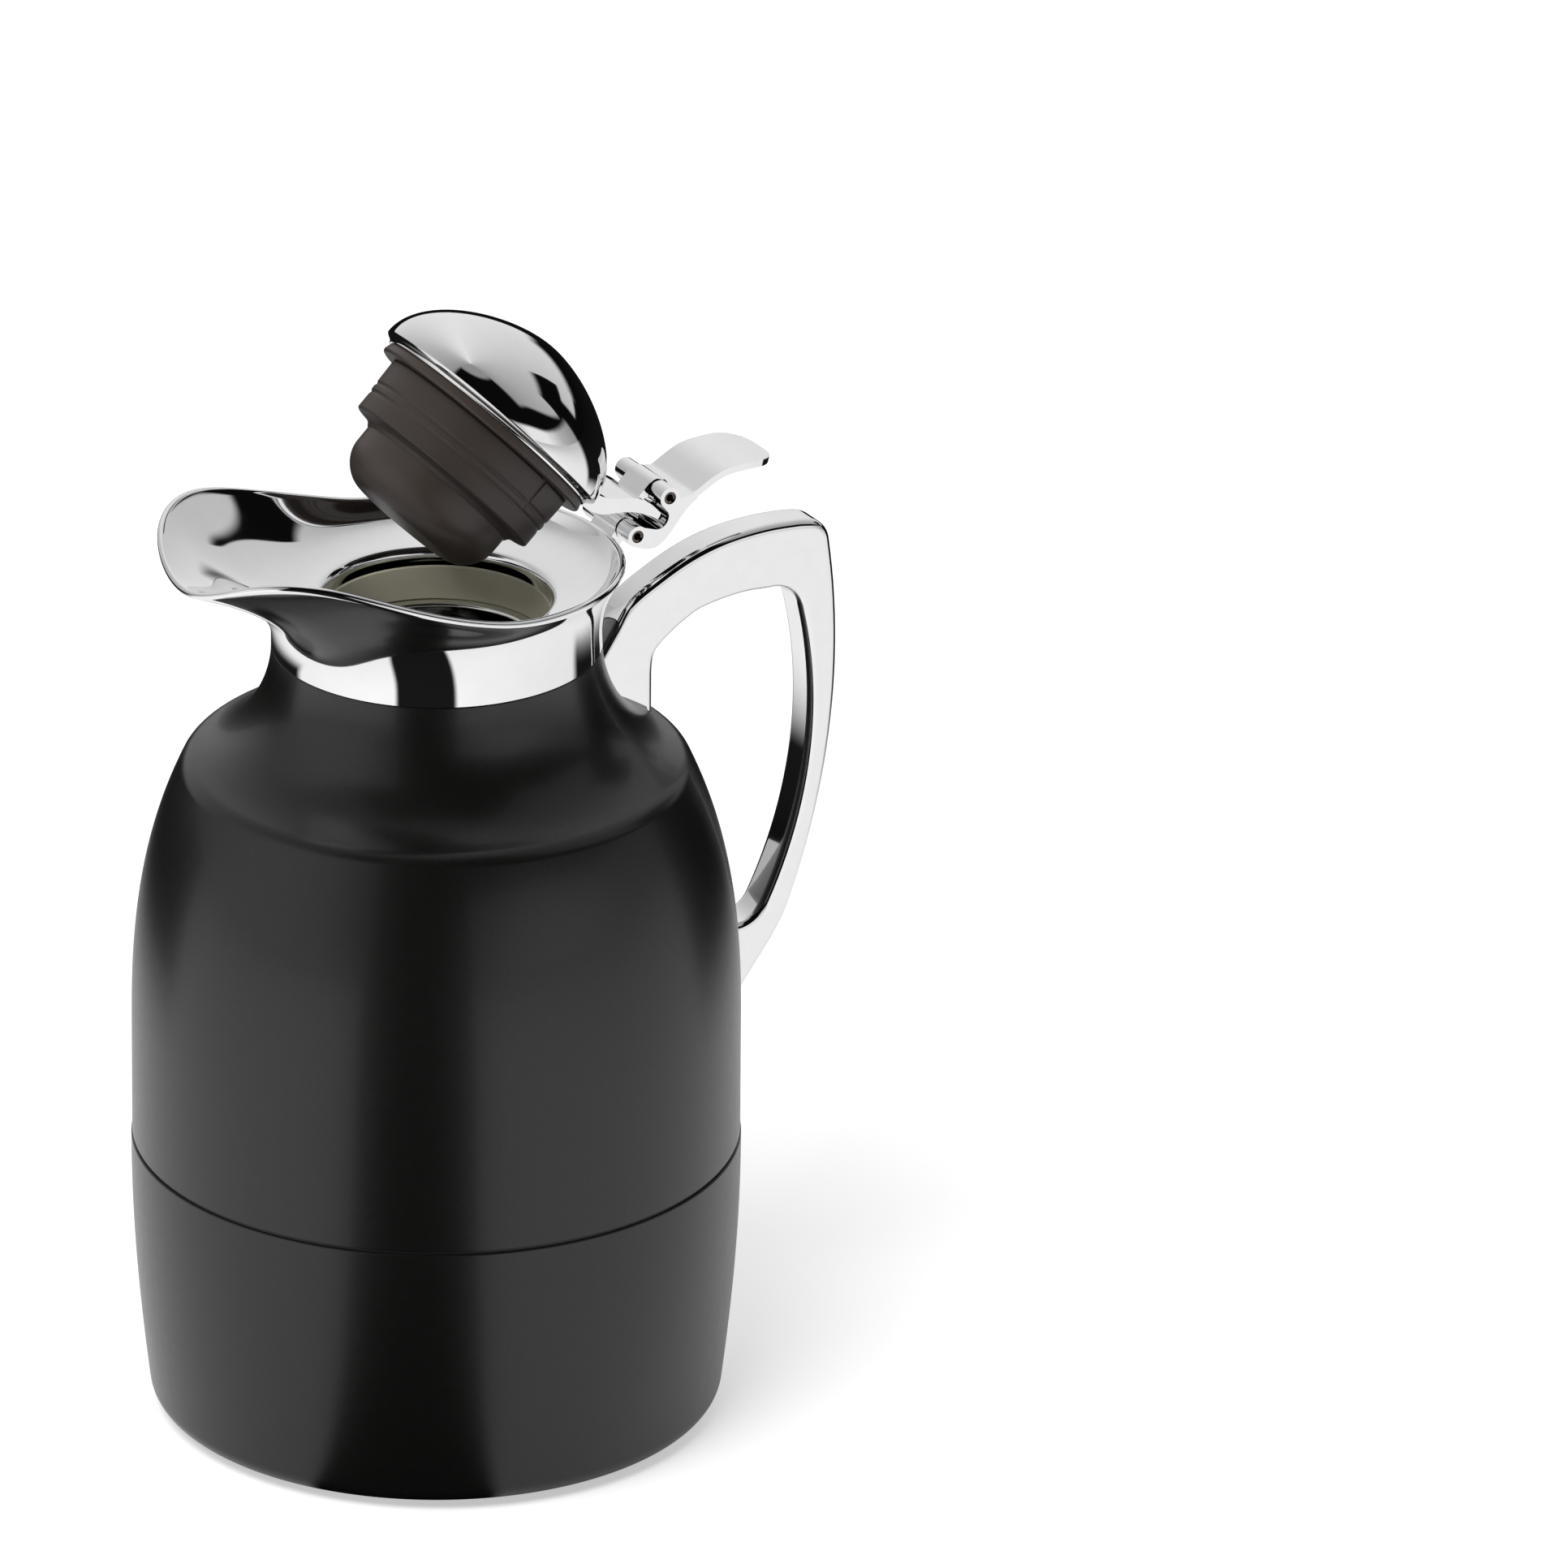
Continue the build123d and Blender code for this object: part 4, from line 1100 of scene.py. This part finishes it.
def room_light(direction):
    """How bright the room is along a direction, as seen from the jug."""
    turn, (_, _, height) = from_camera(direction)
    lift = height.math("ARCSINE", height) * math.degrees(1)
    aside = abs(turn)
    left = turn.graded(*left_wall, *left_levels)
    left = left * turn.between(left_wall[0] - soft_edge, left_wall[1], soft_edge)
    left = left * (1 - lift.step(*left_wall_top))
    right = turn.graded(*right_wall, *right_levels) * turn.between(*right_wall, soft_edge)
    right = right * (1 - (lift + turn.step(40, 70) * 4).step(*right_wall_top))
    rear = turn.step(*right_rear) * 0.55 + turn.step(*middle_rear) * 0.45 + (1 - turn.step(*left_rear))
    edge = canopy_edge - aside.step(*side_turns) * side_drop
    edge = edge + turn.between(*rear_gap, 3) * rear_gap_rise - rear * rear_drop
    strip = turn.between(*strip_turns, soft_edge) * lift.between(*strip_lifts, 1)
    high = strip.most((lift - edge).step(-2, 4)) * aside.step(*canopy_start)
    canopy = high.most(lift.step(*canopy_top)) * aside.graded(canopy_start[0], 180, *canopy_levels)
    return left.most(right).most(canopy) + dimmest


world = bpy.data.worlds.new("room")
bpy.context.scene.world = world
world.use_nodes = True
tree = world.node_tree
background = tree.nodes["Background"]
start = Flow(tree)
room = room_light(start.node("TexCoord", {}, out="Generated"))
seen = start.node("LightPath", {}, out="Is Camera Ray")
shown = seen.node("Mix", {"Factor": seen, 2: room, 3: 1.0}, {"data_type": "FLOAT"})
tree.links.new(shown.socket, background.inputs["Color"])

# %% [markdown]
# The floor is pale and plain, and keeps the jug's soft shadow. A little light of its own whitens it for the
# camera. The chrome would show the floor in front of the camera as a bright patch, where a real studio has
# a dark gap. So for reflections only, the floor is dark there and far behind the jug, and slightly brighter
# everywhere else.

# %% Floor
floor_span = 60
pale = (0.86, 0.86, 0.86)
nearly_black = (0.01, 0.01, 0.01)
whitening = 0.5
sheen = 0.22
behind_turns = (104, 112)
behind_distance = (0.25, 0.45)


def floor_surface(spot):
    turn, (x, y, _) = from_camera(spot)
    away = x.math("SQRT", x * x + y * y)
    behind = abs(turn).step(*behind_turns) * away.step(*behind_distance)
    seen = spot.node("LightPath", {}, out="Is Camera Ray")
    mirrored = spot.node("LightPath", {}, out="Is Glossy Ray")
    dark = turn.between(left_wall[1] - soft_edge, right_wall[0], soft_edge).most(behind) * mirrored
    return {
        "Base Color": dark.tint(pale, nearly_black),
        "Emission Color": seen * whitening + mirrored * (1 - dark) * sheen,
    }


bpy.ops.object.select_all(action="DESELECT")
bpy.ops.mesh.primitive_plane_add(size=floor_span, location=(0, 0, 0))
floor = bpy.context.active_object
floor.name = "floor"
matt = {"Roughness": 0.9, "Specular IOR Level": 0.0, "Emission Strength": 1.0}
floor.data.materials.append(finish("floor", matt, floor_surface))
print("floor:", floor_span, "m")

# %% [markdown]
# One large round lamp stands overhead and to the left, and gives the shadow its direction. It is hidden
# from reflections, because the painted room already holds everything that the chrome should show.

# %% Lamp
lamp_place = Vector((-0.9, -0.5, 1.8))
lamp_aim = Vector((0, 0, 0.1))
bpy.ops.object.light_add(type="AREA", location=lamp_place)
lamp = bpy.context.active_object
lamp.name = "overhead_lamp"
lamp.data.shape = "DISK"
lamp.data.size = 1.2
lamp.data.energy = 24
lamp.visible_glossy = False
lamp.visible_camera = False
lamp.rotation_mode = "QUATERNION"
lamp.rotation_quaternion = (lamp_aim - lamp_place).to_track_quat("-Z", "Y")
bpy.context.scene.view_settings.view_transform = "Standard"
print("lamp:", lamp.data.size, "m across")
